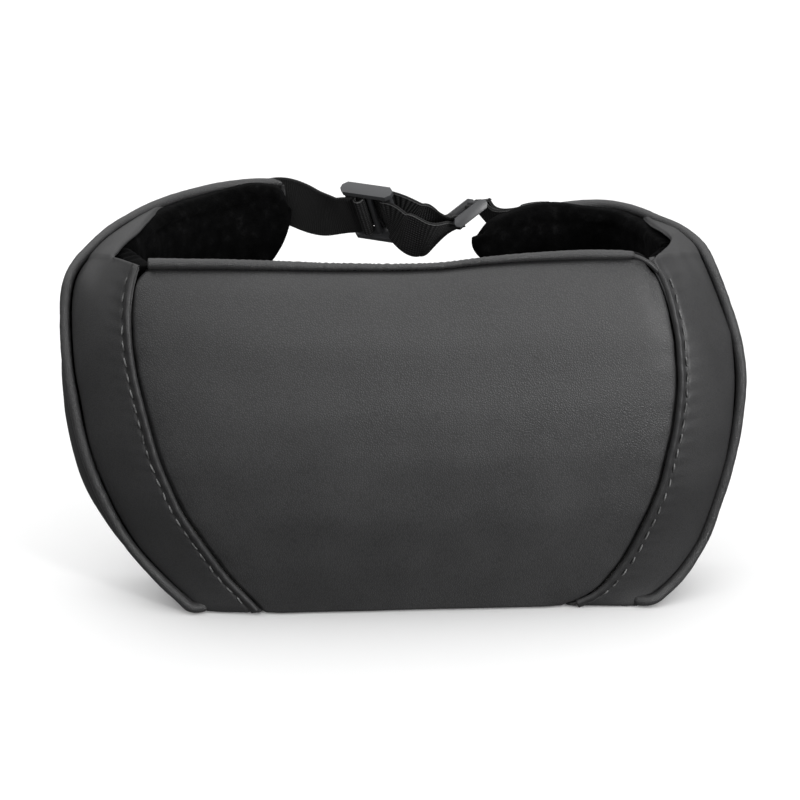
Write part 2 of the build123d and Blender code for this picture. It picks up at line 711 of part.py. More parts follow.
back_w = [up, up, up, mix(up, to_ring, 0.2), mix(up, to_ring, 0.45), mix(up, to_ring, 0.72), to_ring]
with BuildPart() as strap_loop:
    loft(sections=ribbon_sections(front_path, front_w, webbing_w - 2.0, webbing_t), ruled=True)
    loft(sections=ribbon_sections(back_path, back_w, webbing_w - 2.0, webbing_t), ruled=True)
    # the fold round the ring's bar
    with BuildSketch(Plane(origin=add3(ring_a, ring_w, -(webbing_w - 2.0) / 2), x_dir=ring_l, z_dir=ring_w)):
        Circle(fold_r + webbing_t / 2)
        Circle(fold_r - webbing_t / 2, mode=Mode.SUBTRACT)
    extrude(amount=webbing_w - 2.0)
strap_loop.part.label = "strap_loop"

# the short loop that ties the ring to the right wing
ring_b = add3(ring_c, ring_l, ring_bar)
anchor_r = 4.0
anchor_end = add3(ring_b, ring_l, anchor_r)
anchor_path = [anchor_end, (49.2, yr(131.6), 152.0), (53.5, yr(127.0), 147.6), (58.0, yr(124.4), 146.0), (66.0, yr(127.2), 145.6), (74.0, yr(130.0), 145.2)]
anchor_w = [to_ring, mix(up, to_ring, 0.66), mix(up, to_ring, 0.3), up, up, up]
with BuildPart() as strap_anchor:
    loft(sections=ribbon_sections(anchor_path, anchor_w, webbing_w - 2.0, 2 * webbing_t), ruled=True)
    with BuildSketch(Plane(origin=add3(ring_b, ring_w, -(webbing_w - 2.0) / 2), x_dir=ring_l, z_dir=ring_w)):
        Circle(anchor_r + webbing_t / 2)
        Circle(anchor_r - webbing_t / 2, mode=Mode.SUBTRACT)
    extrude(amount=webbing_w - 2.0)
strap_anchor.part.label = "strap_anchor"

PARTS = [foam_core, front_panel, left_side_band, right_side_band, left_gusset, right_gusset, back_lining, base_panel,
         left_edge_piping, right_edge_piping, top_piping, left_seam_welt, right_seam_welt, seam_stitches,
         zip_tape, zip_coils, zip_stops, zip_slider, zip_pull,
         left_wing_foam, left_wing_cover, left_wing_lining, left_wing_piping,
         right_wing_foam, right_wing_cover, right_wing_lining, right_wing_piping,
         adjuster, end_ring, strap_webbing, strap_loop, strap_anchor]
for p in PARTS:
    export_step(p.part, f"parts/{p.part.label}.step")
    bb = p.part.bounding_box()
    print(f"{p.part.label:20s} solids {len(p.part.solids())} vol {p.part.volume:10.1f} valid {p.part.is_valid} "
          f"x {bb.min.X:.1f}..{bb.max.X:.1f} y {bb.min.Y:.1f}..{bb.max.Y:.1f} z {bb.min.Z:.1f}..{bb.max.Z:.1f}")
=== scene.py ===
import bpy, json
import numpy as np
from math import sin, cos, pi, radians, hypot
from mathutils import Vector, Matrix

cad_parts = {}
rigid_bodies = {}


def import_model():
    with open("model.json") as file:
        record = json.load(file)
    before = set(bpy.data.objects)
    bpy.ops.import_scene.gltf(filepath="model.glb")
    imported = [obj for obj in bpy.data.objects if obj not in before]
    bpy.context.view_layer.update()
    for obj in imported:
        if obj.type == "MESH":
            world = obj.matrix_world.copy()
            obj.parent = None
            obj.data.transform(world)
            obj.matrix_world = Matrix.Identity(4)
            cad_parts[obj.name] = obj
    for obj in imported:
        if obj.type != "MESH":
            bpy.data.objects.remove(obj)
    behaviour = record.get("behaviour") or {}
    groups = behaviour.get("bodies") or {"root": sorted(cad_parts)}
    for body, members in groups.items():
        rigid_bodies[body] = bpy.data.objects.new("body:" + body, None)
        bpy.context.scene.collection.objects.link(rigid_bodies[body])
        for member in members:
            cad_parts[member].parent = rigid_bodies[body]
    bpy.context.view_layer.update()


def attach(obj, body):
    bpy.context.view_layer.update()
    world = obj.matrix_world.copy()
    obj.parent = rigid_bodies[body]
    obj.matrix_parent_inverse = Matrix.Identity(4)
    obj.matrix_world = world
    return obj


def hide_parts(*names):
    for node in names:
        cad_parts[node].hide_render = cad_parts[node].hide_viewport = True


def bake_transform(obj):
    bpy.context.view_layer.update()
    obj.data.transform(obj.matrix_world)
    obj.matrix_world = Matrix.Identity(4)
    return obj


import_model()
RNG = np.random.default_rng(7)
BASE_Y = 36.0          # depth of the origin behind the foremost point of the pad, mm


def to_m(P):
    """Millimetres from the foremost point of the pad -> metres in the row frame."""
    P = np.asarray(P, float).copy()
    P[..., 1] -= BASE_Y
    return P / 1000.0


# ------------------------------------------------------------------ tables
GZ = np.arange(-40.0, 220.0, 0.5)


def table(zs, vs, sigma=4.0):
    zs, vs = np.array(zs, float), np.array(vs, float)
    lo = vs[0] + (vs[1] - vs[0]) / (zs[1] - zs[0]) * (GZ - zs[0])
    hi = vs[-1] + (vs[-1] - vs[-2]) / (zs[-1] - zs[-2]) * (GZ - zs[-1])
    v = np.where(GZ < zs[0], lo, np.where(GZ > zs[-1], hi, np.interp(GZ, zs, vs)))
    k = np.exp(-0.5 * (np.arange(-40, 41) * 0.5 / sigma) ** 2)
    k /= k.sum()
    pad = np.concatenate([v[:1] + (np.arange(-40, 0)) * (v[1] - v[0]), v, v[-1:] + np.arange(1, 41) * (v[-1] - v[-2])])
    v = np.convolve(pad, k, "valid")
    return lambda z: np.interp(z, GZ, v)


PX = {"L": table([0, 7, 16, 31, 47, 62, 72, 81, 91, 101, 110, 128, 141, 151, 156],
                 [-92, -100.5, -109, -121.8, -130.5, -136.4, -139.6, -142.1, -143.6, -145.1, -146.8, -147.6, -147.6, -145, -142], 4),
      "R": table([0, 3, 9, 19, 27, 37, 50, 64, 83, 101, 119, 127, 135, 143, 149, 156],
                 [105, 113.8, 122, 130, 135.6, 139.8, 143.3, 147.3, 150, 151, 149.4, 148, 146, 143, 140.5, 137.5], 4)}
PY = {"L": table([0, 7, 16, 32, 47, 62, 81, 100, 120, 135, 147, 156],
                 [18, 20, 21, 24, 25.8, 27.8, 30.7, 34.8, 41, 48, 54.5, 59], 4),
      "R": table([0, 3, 9, 19, 37, 50, 64, 83, 101, 119, 135, 147, 156],
                 [13, 15, 18, 20.5, 25, 26, 28, 31, 35, 39.7, 47.5, 54, 59], 4)}
SX = {"L": table([0, 5, 19, 37, 54, 77, 89, 101, 116, 130, 141, 150, 159],
                 [-64, -67.5, -79, -89.5, -98.9, -107.3, -110.3, -113, -116.3, -118.2, -118.5, -117.7, -113.5], 4),
      "R": table([0, 2.5, 10, 25, 43, 55, 64, 76, 87, 101, 110, 128, 133, 142, 150, 156, 160],
                 [71.5, 80.8, 89.3, 98.9, 106.1, 110.5, 113.3, 115.4, 117.8, 119.3, 119.8, 118.4, 117.1, 115, 112, 108.3, 103.2], 3)}
SY = table([0, 15, 50, 80, 110, 135, 150, 158], [15, 13.5, 9, 9, 13, 18, 24, 28], 5)
FY = table([0, 10, 25, 50, 80, 100, 130, 150, 157], [15.5, 12, 7, 1.5, 0, 1.5, 8, 17, 24], 4)
BY = table([0, 12, 20, 105, 120, 135, 150, 157], [53, 58.5, 60, 60, 57.5, 50, 36, 29.5], 3)
BY95 = table([0, 12, 20, 110, 125, 140, 156], [53, 58.5, 60, 60, 58, 50, 38.5], 3)
BY118 = table([0, 12, 20, 110, 130, 147, 156], [53, 58.5, 60, 60, 59.5, 55, 50], 3)
SIDE = {"L": -1.0, "R": 1.0}

# outer line of each wing: top, bottom, bulge (as in the CAD model)
WING = {
    "L": [((-145.6, 62.3, 152.5), (-134.8, 62.3, 48.0), 7.6), ((-140.6, 71.0, 155.5), (-134.5, 73.5, 55.0), 6.6),
          ((-132.6, 84.5, 158.8), (-129.5, 87.0, 63.0), 5.2), ((-121.8, 100.5, 161.4), (-121.5, 101.5, 73.0), 3.8),
          ((-109.0, 119.0, 162.2), (-109.5, 117.5, 84.0), 2.6), ((-94.0, 135.2, 162.2), (-95.0, 133.0, 96.0), 2.0),
          ((-78.0, 147.2, 162.0), (-79.0, 145.0, 109.0), 1.4), ((-62.5, 152.8, 161.6), (-63.0, 151.0, 124.0), 0.8),
          ((-50.5, 154.2, 160.8), (-50.5, 152.6, 138.5), 0.4)],
    "R": [((140.6, 62.3, 150.5), (143.4, 62.3, 48.0), 9.6), ((135.0, 71.6, 153.0), (141.0, 74.5, 55.0), 8.2),
          ((129.8, 86.0, 155.2), (135.5, 88.5, 63.0), 6.4), ((124.0, 100.5, 155.6), (128.5, 102.5, 73.0), 4.4),
          ((116.2, 114.5, 155.6), (119.0, 115.5, 85.0), 3.0), ((104.5, 126.0, 155.6), (106.0, 125.5, 96.0), 2.0),
          ((88.5, 129.6, 155.6), (90.0, 128.6, 107.0), 1.4), ((71.0, 125.6, 155.6), (71.5, 124.4, 119.0), 0.9),
          ((54.5, 118.6, 154.6), (54.5, 117.0, 131.0), 0.5), ((44.0, 113.2, 153.0), (44.0, 111.8, 138.5), 0.3)]}
T_ROOT, T_TIP = 13.0, 8.5


# ------------------------------------------------------------------ curves
def natural(t, P):
    """Natural cubic spline through P at parameters t; returns a function."""
    t, P = np.asarray(t, float), np.asarray(P, float)
    if P.ndim == 1:
        P = P[:, None]
        flat = True
    else:
        flat = False
    n = len(t)
    h = np.diff(t)
    A = np.zeros((n, n)); B = np.zeros((n, P.shape[1]))
    A[0, 0] = A[-1, -1] = 1
    for i in range(1, n - 1):
        A[i, i - 1], A[i, i], A[i, i + 1] = h[i - 1], 2 * (h[i - 1] + h[i]), h[i]
        B[i] = 6 * ((P[i + 1] - P[i]) / h[i] - (P[i] - P[i - 1]) / h[i - 1])
    M = np.linalg.solve(A, B)

    def f(x):
        x = np.atleast_1d(np.asarray(x, float))
        i = np.clip(np.searchsorted(t, x) - 1, 0, n - 2)
        d = (t[i + 1] - x)[:, None]; e = (x - t[i])[:, None]; hh = h[i][:, None]
        r = M[i] * d ** 3 / (6 * hh) + M[i + 1] * e ** 3 / (6 * hh) + (P[i] / hh - M[i] * hh / 6) * d + (P[i + 1] / hh - M[i + 1] * hh / 6) * e
        return r[:, 0] if flat else r
    return f


def chord(P):
    P = np.asarray(P, float)
    return np.concatenate([[0], np.cumsum(np.linalg.norm(np.diff(P, axis=0), axis=1))])


def spline(P, n):
    """n points evenly spaced along a smooth curve through P."""
    t = chord(P)
    f = natural(t, P)
    fine = f(np.linspace(0, t[-1], 12 * n))
    s = chord(fine)
    return np.stack([np.interp(np.linspace(0, s[-1], n), s, fine[:, k]) for k in range(fine.shape[1])], 1)


def unit(a):
    return a / np.maximum(np.linalg.norm(a, axis=-1, keepdims=True), 1e-9)


def smoothstep(a, b, x):
    t = np.clip((x - a) / (b - a), 0, 1)
    return t * t * (3 - 2 * t)


_W = {}


def wob(P, scale, seed):
    """Smooth, repeatable wobble between about -1 and 1; scale is its wavelength in mm."""
    if seed not in _W:
        r = np.random.default_rng(seed)
        d = unit(r.normal(size=(7, 3)))
        _W[seed] = (d * r.uniform(0.6, 1.5, (7, 1)), r.uniform(0, 2 * pi, 7))
    d, ph = _W[seed]
    return np.sin((np.asarray(P) @ d.T) * (2 * pi / scale) + ph).sum(-1) / 3.2


# ------------------------------------------------------------------ meshes
def add_mesh(name, V, F, uv=None, smooth=True):
    me = bpy.data.meshes.new(name)
    me.from_pydata([tuple(v) for v in to_m(V)], [], F)
    if uv is not None:
        lay = me.uv_layers.new(name="UVMap")
        idx = np.empty(len(me.loops), int)
        me.loops.foreach_get("vertex_index", idx)
        lay.data.foreach_set("uv", np.asarray(uv, float)[idx].ravel())
    me.polygons.foreach_set("use_smooth", [smooth] * len(me.polygons))
    me.validate(); me.update()
    ob = bpy.data.objects.new(name, me)
    bpy.context.scene.collection.objects.link(ob)
    return ob


def grid_normals(P):
    du = np.gradient(P, axis=0); dv = np.gradient(P, axis=1)
    return unit(np.cross(du, dv))


def sheet(name, P, t, uv=None, flip=False, N=None, out=None):
    """A closed thin shell: grid P, and the same grid moved by t against the normals."""
    nu, nv = P.shape[:2]
    N = grid_normals(P) if N is None else N
    if out is not None:
        flip = bool((N * np.array(out, float)).sum() < 0)
    if flip:
        N = -N
    Q = P - N * (np.asarray(t)[..., None] if np.ndim(t) else t)
    V = np.concatenate([P.reshape(-1, 3), Q.reshape(-1, 3)])
    k = nu * nv
    F = []
    for i in range(nu - 1):
        for j in range(nv - 1):
            a, b, c, d = i * nv + j, (i + 1) * nv + j, (i + 1) * nv + j + 1, i * nv + j + 1
            f = (a, b, c, d) if not flip else (d, c, b, a)
            F.append(f)
            F.append(tuple(k + q for q in reversed(f)))
    rim = [i * nv for i in range(nu)] + [(nu - 1) * nv + j for j in range(1, nv)] + \
          [i * nv + nv - 1 for i in range(nu - 2, -1, -1)] + [j for j in range(nv - 2, 0, -1)]
    for a, b in zip(rim, rim[1:] + rim[:1]):
        F.append((b, a, a + k, b + k) if not flip else (a, b, b + k, a + k))
    if uv is not None:
        uv = np.concatenate([uv.reshape(-1, 2)] * 2)
    return add_mesh(name, V, F, uv)


def frames(C, up=None):
    T = unit(np.gradient(C, axis=0))
    N = np.zeros_like(C)
    ref = np.array([0, 0, 1.0]) if abs(T[0][2]) < 0.9 else np.array([0, 1.0, 0])
    N[0] = unit(ref - T[0] * (ref @ T[0]))
    for i in range(1, len(C)):
        v = N[i - 1] - T[i] * (N[i - 1] @ T[i])
        N[i] = unit(v)
    return T, N, np.cross(T, N)


def tube(name, C, r, seg=20, caps=(1, 1), squash=None, disp=None):
    """A closed round tube along C. r may vary; caps: 1 rounded, 0 flat."""
    n = len(C)
    r = np.full(n, float(r)) if np.ndim(r) == 0 else np.asarray(r, float)
    T, N, B = frames(C)
    rings = []
    for end, cap in ((0, caps[0]), (1, caps[1])):
        ks = [0.25, 0.6, 0.86] if cap else [0.7, 0.92]
        i = 0 if end == 0 else n - 1
        sgn = -1 if end == 0 else 1
        extra = []
        for q in ks:
            adv = (np.sqrt(max(0, 1 - q * q)) * r[i] * 0.9) if cap else (1 - q) * 0.6
            extra.append((C[i] + sgn * T[i] * adv, r[i] * q, N[i], B[i]))
        rings.append(extra)
    th = np.linspace(0, 2 * pi, seg, endpoint=False)
    sx, sy = (1, 1) if squash is None else squash
    allr = [e for e in rings[0]] + [(C[i], r[i], N[i], B[i]) for i in range(n)] + [e for e in reversed(rings[1])]
    V = []
    for c, rr, nn, bb in allr:
        V.append(c + rr * (np.cos(th)[:, None] * nn * sx + np.sin(th)[:, None] * bb * sy))
    V = np.array(V)
    if disp is not None:
        a = len(rings[0])
        V[a:a + n] += disp(V[a:a + n], T, N, B, th)
    m = len(V)
    V = V.reshape(-1, 3)
    F = []
    for i in range(m - 1):
        for j in range(seg):
            k = (j + 1) % seg
            F.append((i * seg + j, i * seg + k, (i + 1) * seg + k, (i + 1) * seg + j))
    V = np.concatenate([V, [V[:seg].mean(0) + (-T[0] * 0.05)], [V[-seg:].mean(0) + T[-1] * 0.05]])
    a, b = len(V) - 2, len(V) - 1
    for j in range(seg):
        k = (j + 1) % seg
        F.append((a, k, j))
        F.append((b, (m - 1) * seg + j, (m - 1) * seg + k))
    L = chord(np.array([q[0] for q in allr]))
    uv = np.zeros((len(V), 2))
    uv[:-2, 0] = np.repeat(L, seg); uv[:-2, 1] = np.tile(th * r.mean(), m)
    return add_mesh(name, V, F, uv)


def loops_to_mesh(name, L, closed_ends=True, uv=None):
    """A closed skin over a list of closed loops, each (n, 3)."""
    m, seg = L.shape[:2]
    V = L.reshape(-1, 3)
    F = []
    for i in range(m - 1):
        for j in range(seg):
            k = (j + 1) % seg
            F.append((i * seg + j, i * seg + k, (i + 1) * seg + k, (i + 1) * seg + j))
    V = np.concatenate([V, [L[0].mean(0)], [L[-1].mean(0)]])
    a, b = len(V) - 2, len(V) - 1
    for j in range(seg):
        k = (j + 1) % seg
        F.append((a, k, j)); F.append((b, (m - 1) * seg + j, (m - 1) * seg + k))
    if uv is not None:
        uv = np.concatenate([uv.reshape(-1, 2), uv[0].mean(0)[None], uv[-1].mean(0)[None]])
    ob = add_mesh(name, V, F, uv)
    return ob


def recalc(ob):
    import bmesh
    bm = bmesh.new(); bm.from_mesh(ob.data)
    bmesh.ops.recalc_face_normals(bm, faces=bm.faces)
    bm.to_mesh(ob.data); bm.free()
    return ob


def apply_mods(ob):
    dg = bpy.context.evaluated_depsgraph_get()
    me = bpy.data.meshes.new_from_object(ob.evaluated_get(dg))
    ob.modifiers.clear()
    ob.data = me
    return ob


def bevel_all(ob, width, seg=3, angle=35):
    b = ob.modifiers.new("b", "BEVEL"); b.width = width; b.segments = seg; b.limit_method = "ANGLE"; b.angle_limit = radians(angle)
    b.harden_normals = False
    apply_mods(ob)
    ob.data.polygons.foreach_set("use_smooth", [True] * len(ob.data.polygons))
    return ob


# ------------------------------------------------------------------ materials
def new_mat(name):
    m = bpy.data.materials.new(name); m.use_nodes = True
    nt = m.node_tree
    for n in list(nt.nodes):
        nt.nodes.remove(n)
    out = nt.nodes.new("ShaderNodeOutputMaterial")
    bs = nt.nodes.new("ShaderNodeBsdfPrincipled")
    nt.links.new(bs.outputs[0], out.inputs[0])
    return m, nt, bs


def node(nt, kind, **kw):
    n = nt.nodes.new(kind)
    for k, v in kw.items():
        if k in ("inputs",):
            for a, b in v.items():
                n.inputs[a].default_value = b
        else:
            setattr(n, k, v)
    return n


def ramp(nt, src, stops):
    r = node(nt, "ShaderNodeValToRGB")
    e = r.color_ramp.elements
    while len(e) < len(stops):
        e.new(0.5)
    for el, (p, c) in zip(e, stops):
        el.position = p; el.color = (*c, 1) if len(c) == 3 else c
    nt.links.new(src, r.inputs[0])
    return r


def leather(name, base, rough=0.5, grain=0.35, cell=0.9, spec=0.45, fine=0.2, var=0.25):
    m, nt, bs = new_mat(name)
    tc = node(nt, "ShaderNodeTexCoord")
    L = nt.links.new
    # warped coordinates, so that the grain has no lattice
    nz = node(nt, "ShaderNodeTexNoise", inputs={"Scale": 420.0, "Detail": 2.0})
    L(tc.outputs["Object"], nz.inputs["Vector"])
    sub = node(nt, "ShaderNodeVectorMath", operation="SUBTRACT"); sub.inputs[1].default_value = (0.5, 0.5, 0.5)
    L(nz.outputs["Color"], sub.inputs[0])
    mul = node(nt, "ShaderNodeVectorMath", operation="SCALE"); mul.inputs["Scale"].default_value = 0.0009
    L(sub.outputs[0], mul.inputs[0])
    ad = node(nt, "ShaderNodeVectorMath", operation="ADD")
    L(tc.outputs["Object"], ad.inputs[0]); L(mul.outputs[0], ad.inputs[1])
    vo = node(nt, "ShaderNodeTexVoronoi", feature="DISTANCE_TO_EDGE", inputs={"Scale": 1000.0 / cell})
    L(ad.outputs[0], vo.inputs["Vector"])
    vr = ramp(nt, vo.outputs["Distance"], [(0.0, (0, 0, 0)), (0.28, (1, 1, 1))])
    n2 = node(nt, "ShaderNodeTexNoise", inputs={"Scale": 2600.0, "Detail": 3.0, "Roughness": 0.6})
    L(tc.outputs["Object"], n2.inputs["Vector"])
    n3 = node(nt, "ShaderNodeTexNoise", inputs={"Scale": 26.0, "Detail": 4.0, "Roughness": 0.55})
    L(tc.outputs["Object"], n3.inputs["Vector"])
    b1 = node(nt, "ShaderNodeBump", inputs={"Strength": grain, "Distance": 0.00022})
    L(vr.outputs[0], b1.inputs["Height"])
    b2 = node(nt, "ShaderNodeBump", inputs={"Strength": fine, "Distance": 0.00012})
    L(n2.outputs["Fac"], b2.inputs["Height"]); L(b1.outputs[0], b2.inputs["Normal"])
    L(b2.outputs[0], bs.inputs["Normal"])
    # colour: slightly darker in the valleys, and soft patches
    c0 = tuple(x * (1 - 0.35) for x in base); c1 = base
    cr = ramp(nt, vo.outputs["Distance"], [(0.0, c0), (0.22, c1)])
    pr = ramp(nt, n3.outputs["Fac"], [(0.3, (1 - var,) * 3), (0.7, (1 + 0.0,) * 3)])
    mx = node(nt, "ShaderNodeMix", data_type="RGBA", blend_type="MULTIPLY"); mx.inputs["Factor"].default_value = 1.0
    L(cr.outputs[0], mx.inputs["A"]); L(pr.outputs[0], mx.inputs["B"])
    L(mx.outputs["Result"], bs.inputs["Base Color"])
    rr = node(nt, "ShaderNodeMapRange", inputs={"From Min": 0.3, "From Max": 0.7, "To Min": rough - 0.05, "To Max": rough + 0.06})
    L(n3.outputs["Fac"], rr.inputs["Value"]); L(rr.outputs[0], bs.inputs["Roughness"])
    bs.inputs["Specular IOR Level"].default_value = spec
    bs.inputs["Coat Weight"].default_value = 0.06
    bs.inputs["Coat Roughness"].default_value = 0.35
    return m


def velour(name):
    m, nt, bs = new_mat(name)
    L = nt.links.new
    tc = node(nt, "ShaderNodeTexCoord")
    n1 = node(nt, "ShaderNodeTexNoise", inputs={"Scale": 190.0, "Detail": 5.0, "Roughness": 0.62})
    n2 = node(nt, "ShaderNodeTexNoise", inputs={"Scale": 1500.0, "Detail": 2.0})
    n3 = node(nt, "ShaderNodeTexNoise", inputs={"Scale": 34.0, "Detail": 3.0})
    for n in (n1, n2, n3):
        L(tc.outputs["Object"], n.inputs["Vector"])
    b1 = node(nt, "ShaderNodeBump", inputs={"Strength": 0.55, "Distance": 0.0011})
    L(n1.outputs["Fac"], b1.inputs["Height"])
    b2 = node(nt, "ShaderNodeBump", inputs={"Strength": 0.7, "Distance": 0.00035})
    L(n2.outputs["Fac"], b2.inputs["Height"]); L(b1.outputs[0], b2.inputs["Normal"])
    L(b2.outputs[0], bs.inputs["Normal"])
    # colour from the noise: the lighter patches are partly the pile's own uneven tone and partly painted highlight,
    # standing in for sheen on the nap's folds
    cr = ramp(nt, n1.outputs["Fac"], [(0.38, (0.0005, 0.0005, 0.00055)), (0.58, (0.0018, 0.0018, 0.0019)), (0.80, (0.0075, 0.0075, 0.0078))])
    L(cr.outputs[0], bs.inputs["Base Color"])
    bs.inputs["Roughness"].default_value = 0.95
    bs.inputs["Specular IOR Level"].default_value = 0.05
    bs.inputs["Sheen Weight"].default_value = 0.022
    bs.inputs["Sheen Roughness"].default_value = 0.45
    bs.inputs["Sheen Tint"].default_value = (0.6, 0.6, 0.62, 1)
    return m


def webbing(name, base=(0.012, 0.012, 0.0125), px=1.25, py=0.9, strength=0.8, deep=0.25, edge_at=99.0):
    """Woven elastic; UV is in mm, u along the strap, v across it."""
    m, nt, bs = new_mat(name)
    L = nt.links.new
    tc = node(nt, "ShaderNodeTexCoord")
    w1 = node(nt, "ShaderNodeTexWave", wave_type="BANDS", bands_direction="Y", inputs={"Scale": 0.31 / py, "Distortion": 0.4, "Detail": 1.0, "Detail Scale": 1.0})
    w2 = node(nt, "ShaderNodeTexWave", wave_type="BANDS", bands_direction="X", inputs={"Scale": 0.31 / px, "Distortion": 0.5, "Detail": 1.0, "Detail Scale": 1.0})
    for w in (w1, w2):
        L(tc.outputs["UV"], w.inputs["Vector"])
    mx = node(nt, "ShaderNodeMath", operation="MULTIPLY")
    L(w1.outputs["Fac"], mx.inputs[0]); L(w2.outputs["Fac"], mx.inputs[1])
    nz = node(nt, "ShaderNodeTexNoise", inputs={"Scale": 1800.0, "Detail": 2.0})
    L(tc.outputs["Object"], nz.inputs["Vector"])
    b1 = node(nt, "ShaderNodeBump", inputs={"Strength": strength, "Distance": 0.00035})
    L(mx.outputs[0], b1.inputs["Height"])
    b2 = node(nt, "ShaderNodeBump", inputs={"Strength": 0.4, "Distance": 0.0001})
    L(nz.outputs["Fac"], b2.inputs["Height"]); L(b1.outputs[0], b2.inputs["Normal"])
    L(b2.outputs[0], bs.inputs["Normal"])
    cr = ramp(nt, mx.outputs[0], [(0.0, tuple(c * deep for c in base)), (0.45, base), (1.0, tuple(c * 1.9 for c in base))])
    sx = node(nt, "ShaderNodeSeparateXYZ"); L(tc.outputs["UV"], sx.inputs[0])
    ab = node(nt, "ShaderNodeMath", operation="ABSOLUTE"); L(sx.outputs["Y"], ab.inputs[0])
    cmp_ = node(nt, "ShaderNodeMath", operation="COMPARE"); L(ab.outputs[0], cmp_.inputs[0])
    cmp_.inputs[1].default_value = edge_at; cmp_.inputs[2].default_value = 0.22
    em = node(nt, "ShaderNodeMix", data_type="RGBA"); L(cmp_.outputs[0], em.inputs["Factor"])
    L(cr.outputs[0], em.inputs["A"]); em.inputs["B"].default_value = (0.085, 0.085, 0.085, 1)
    L(em.outputs["Result"], bs.inputs["Base Color"])
    bs.inputs["Roughness"].default_value = 0.72
    bs.inputs["Specular IOR Level"].default_value = 0.3
    bs.inputs["Sheen Weight"].default_value = 0.03
    bs.inputs["Sheen Roughness"].default_value = 0.4
    return m


def plastic(name, base=(0.046, 0.047, 0.050), rough=0.42, bump=0.12, scale=900.0):
    m, nt, bs = new_mat(name)
    L = nt.links.new
    tc = node(nt, "ShaderNodeTexCoord")
    nz = node(nt, "ShaderNodeTexNoise", inputs={"Scale": scale, "Detail": 2.0})
    n2 = node(nt, "ShaderNodeTexNoise", inputs={"Scale": 90.0, "Detail": 4.0})
    L(tc.outputs["Object"], nz.inputs["Vector"]); L(tc.outputs["Object"], n2.inputs["Vector"])
    b = node(nt, "ShaderNodeBump", inputs={"Strength": bump, "Distance": 0.0001})
    L(nz.outputs["Fac"], b.inputs["Height"]); L(b.outputs[0], bs.inputs["Normal"])
    cr = ramp(nt, n2.outputs["Fac"], [(0.3, tuple(c * 0.82 for c in base)), (0.7, tuple(c * 1.12 for c in base))])
    L(cr.outputs[0], bs.inputs["Base Color"])
    rr = node(nt, "ShaderNodeMapRange", inputs={"From Min": 0.3, "From Max": 0.7, "To Min": rough - 0.05, "To Max": rough + 0.08})
    L(n2.outputs["Fac"], rr.inputs["Value"]); L(rr.outputs[0], bs.inputs["Roughness"])
    return m


def thread(name, base=(0.10, 0.10, 0.10)):
    m, nt, bs = new_mat(name)
    L = nt.links.new
    tc = node(nt, "ShaderNodeTexCoord")
    w = node(nt, "ShaderNodeTexWave", wave_type="BANDS", bands_direction="DIAGONAL", inputs={"Scale": 900.0, "Distortion": 0.6})
    nz = node(nt, "ShaderNodeTexNoise", inputs={"Scale": 300.0, "Detail": 2.0})
    L(tc.outputs["Object"], w.inputs["Vector"]); L(tc.outputs["Object"], nz.inputs["Vector"])
    b = node(nt, "ShaderNodeBump", inputs={"Strength": 0.6, "Distance": 0.0001})
    L(w.outputs["Fac"], b.inputs["Height"]); L(b.outputs[0], bs.inputs["Normal"])
    cr = ramp(nt, nz.outputs["Fac"], [(0.35, tuple(c * 0.3 for c in base)), (0.62, tuple(c * 1.6 for c in base))])
    L(cr.outputs[0], bs.inputs["Base Color"])
    bs.inputs["Roughness"].default_value = 0.6
    return m


def foam_mat(name):
    m, nt, bs = new_mat(name)
    L = nt.links.new
    tc = node(nt, "ShaderNodeTexCoord")
    vo = node(nt, "ShaderNodeTexVoronoi", inputs={"Scale": 700.0})
    L(tc.outputs["Object"], vo.inputs["Vector"])
    b = node(nt, "ShaderNodeBump", inputs={"Strength": 0.8, "Distance": 0.0005})
    L(vo.outputs["Distance"], b.inputs["Height"]); L(b.outputs[0], bs.inputs["Normal"])
    cr = ramp(nt, vo.outputs["Distance"], [(0.1, (0.5, 0.49, 0.44)), (0.6, (0.78, 0.77, 0.72))])
    L(cr.outputs[0], bs.inputs["Base Color"])
    bs.inputs["Roughness"].default_value = 0.95
    return m


M_PANEL = leather("leather_grain", (0.050, 0.050, 0.051), rough=0.50, grain=0.42, cell=1.0, fine=0.5, spec=0.4)
M_SIDE = leather("leather_smooth", (0.042, 0.042, 0.043), rough=0.48, grain=0.16, cell=0.8, fine=0.25, spec=0.38)
M_PIPE = leather("leather_piping", (0.044, 0.044, 0.045), rough=0.40, grain=0.5, cell=0.8, fine=0.6, spec=0.5)
M_VEL = velour("velour_pile")
M_WEB = webbing("webbing_fine", base=(0.0058, 0.0058, 0.0060), px=0.8, py=0.62, strength=0.6)
M_WEB2 = webbing("webbing_waffle", base=(0.013, 0.013, 0.0134), px=1.25, py=1.25, strength=1.0, deep=0.06, edge_at=11.1)
M_PLA = plastic("plastic_satin")
M_THR = thread("thread_twist", base=(0.12, 0.12, 0.12))
M_FOAM = foam_mat("foam_cells")
M_ZIP = plastic("zip_enamel", base=(0.02, 0.02, 0.021), rough=0.25, bump=0.05)
M_ZTAPE = webbing("zip_tape_weave", base=(0.010, 0.010, 0.0105), px=0.6, py=0.6, strength=0.4)


def put(ob, mat, body=None, replaces=(), blend=None):
    ob.data.materials.clear()
    ob.data.materials.append(mat)
    if blend:
        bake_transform(ob)
    else:
        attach(ob, body)
    if replaces:
        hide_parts(*replaces)
    return ob


HINGE = {"L": ("cushion", "left_wing"), "R": ("cushion", "right_wing")}


def hinge_blend(side, y0=54.0, y1=76.0):
    """The two bodies and the start and end of a soft fold between them, in metres in the row frame; put() only bakes
    the piece in place, so no fold is made here.
    """
    x = -0.140 if side == "L" else 0.144
    a, b = HINGE[side]
    return (a, b, (x, (y0 - BASE_Y) / 1000, 0.1), (x, (y1 - BASE_Y) / 1000, 0.1))


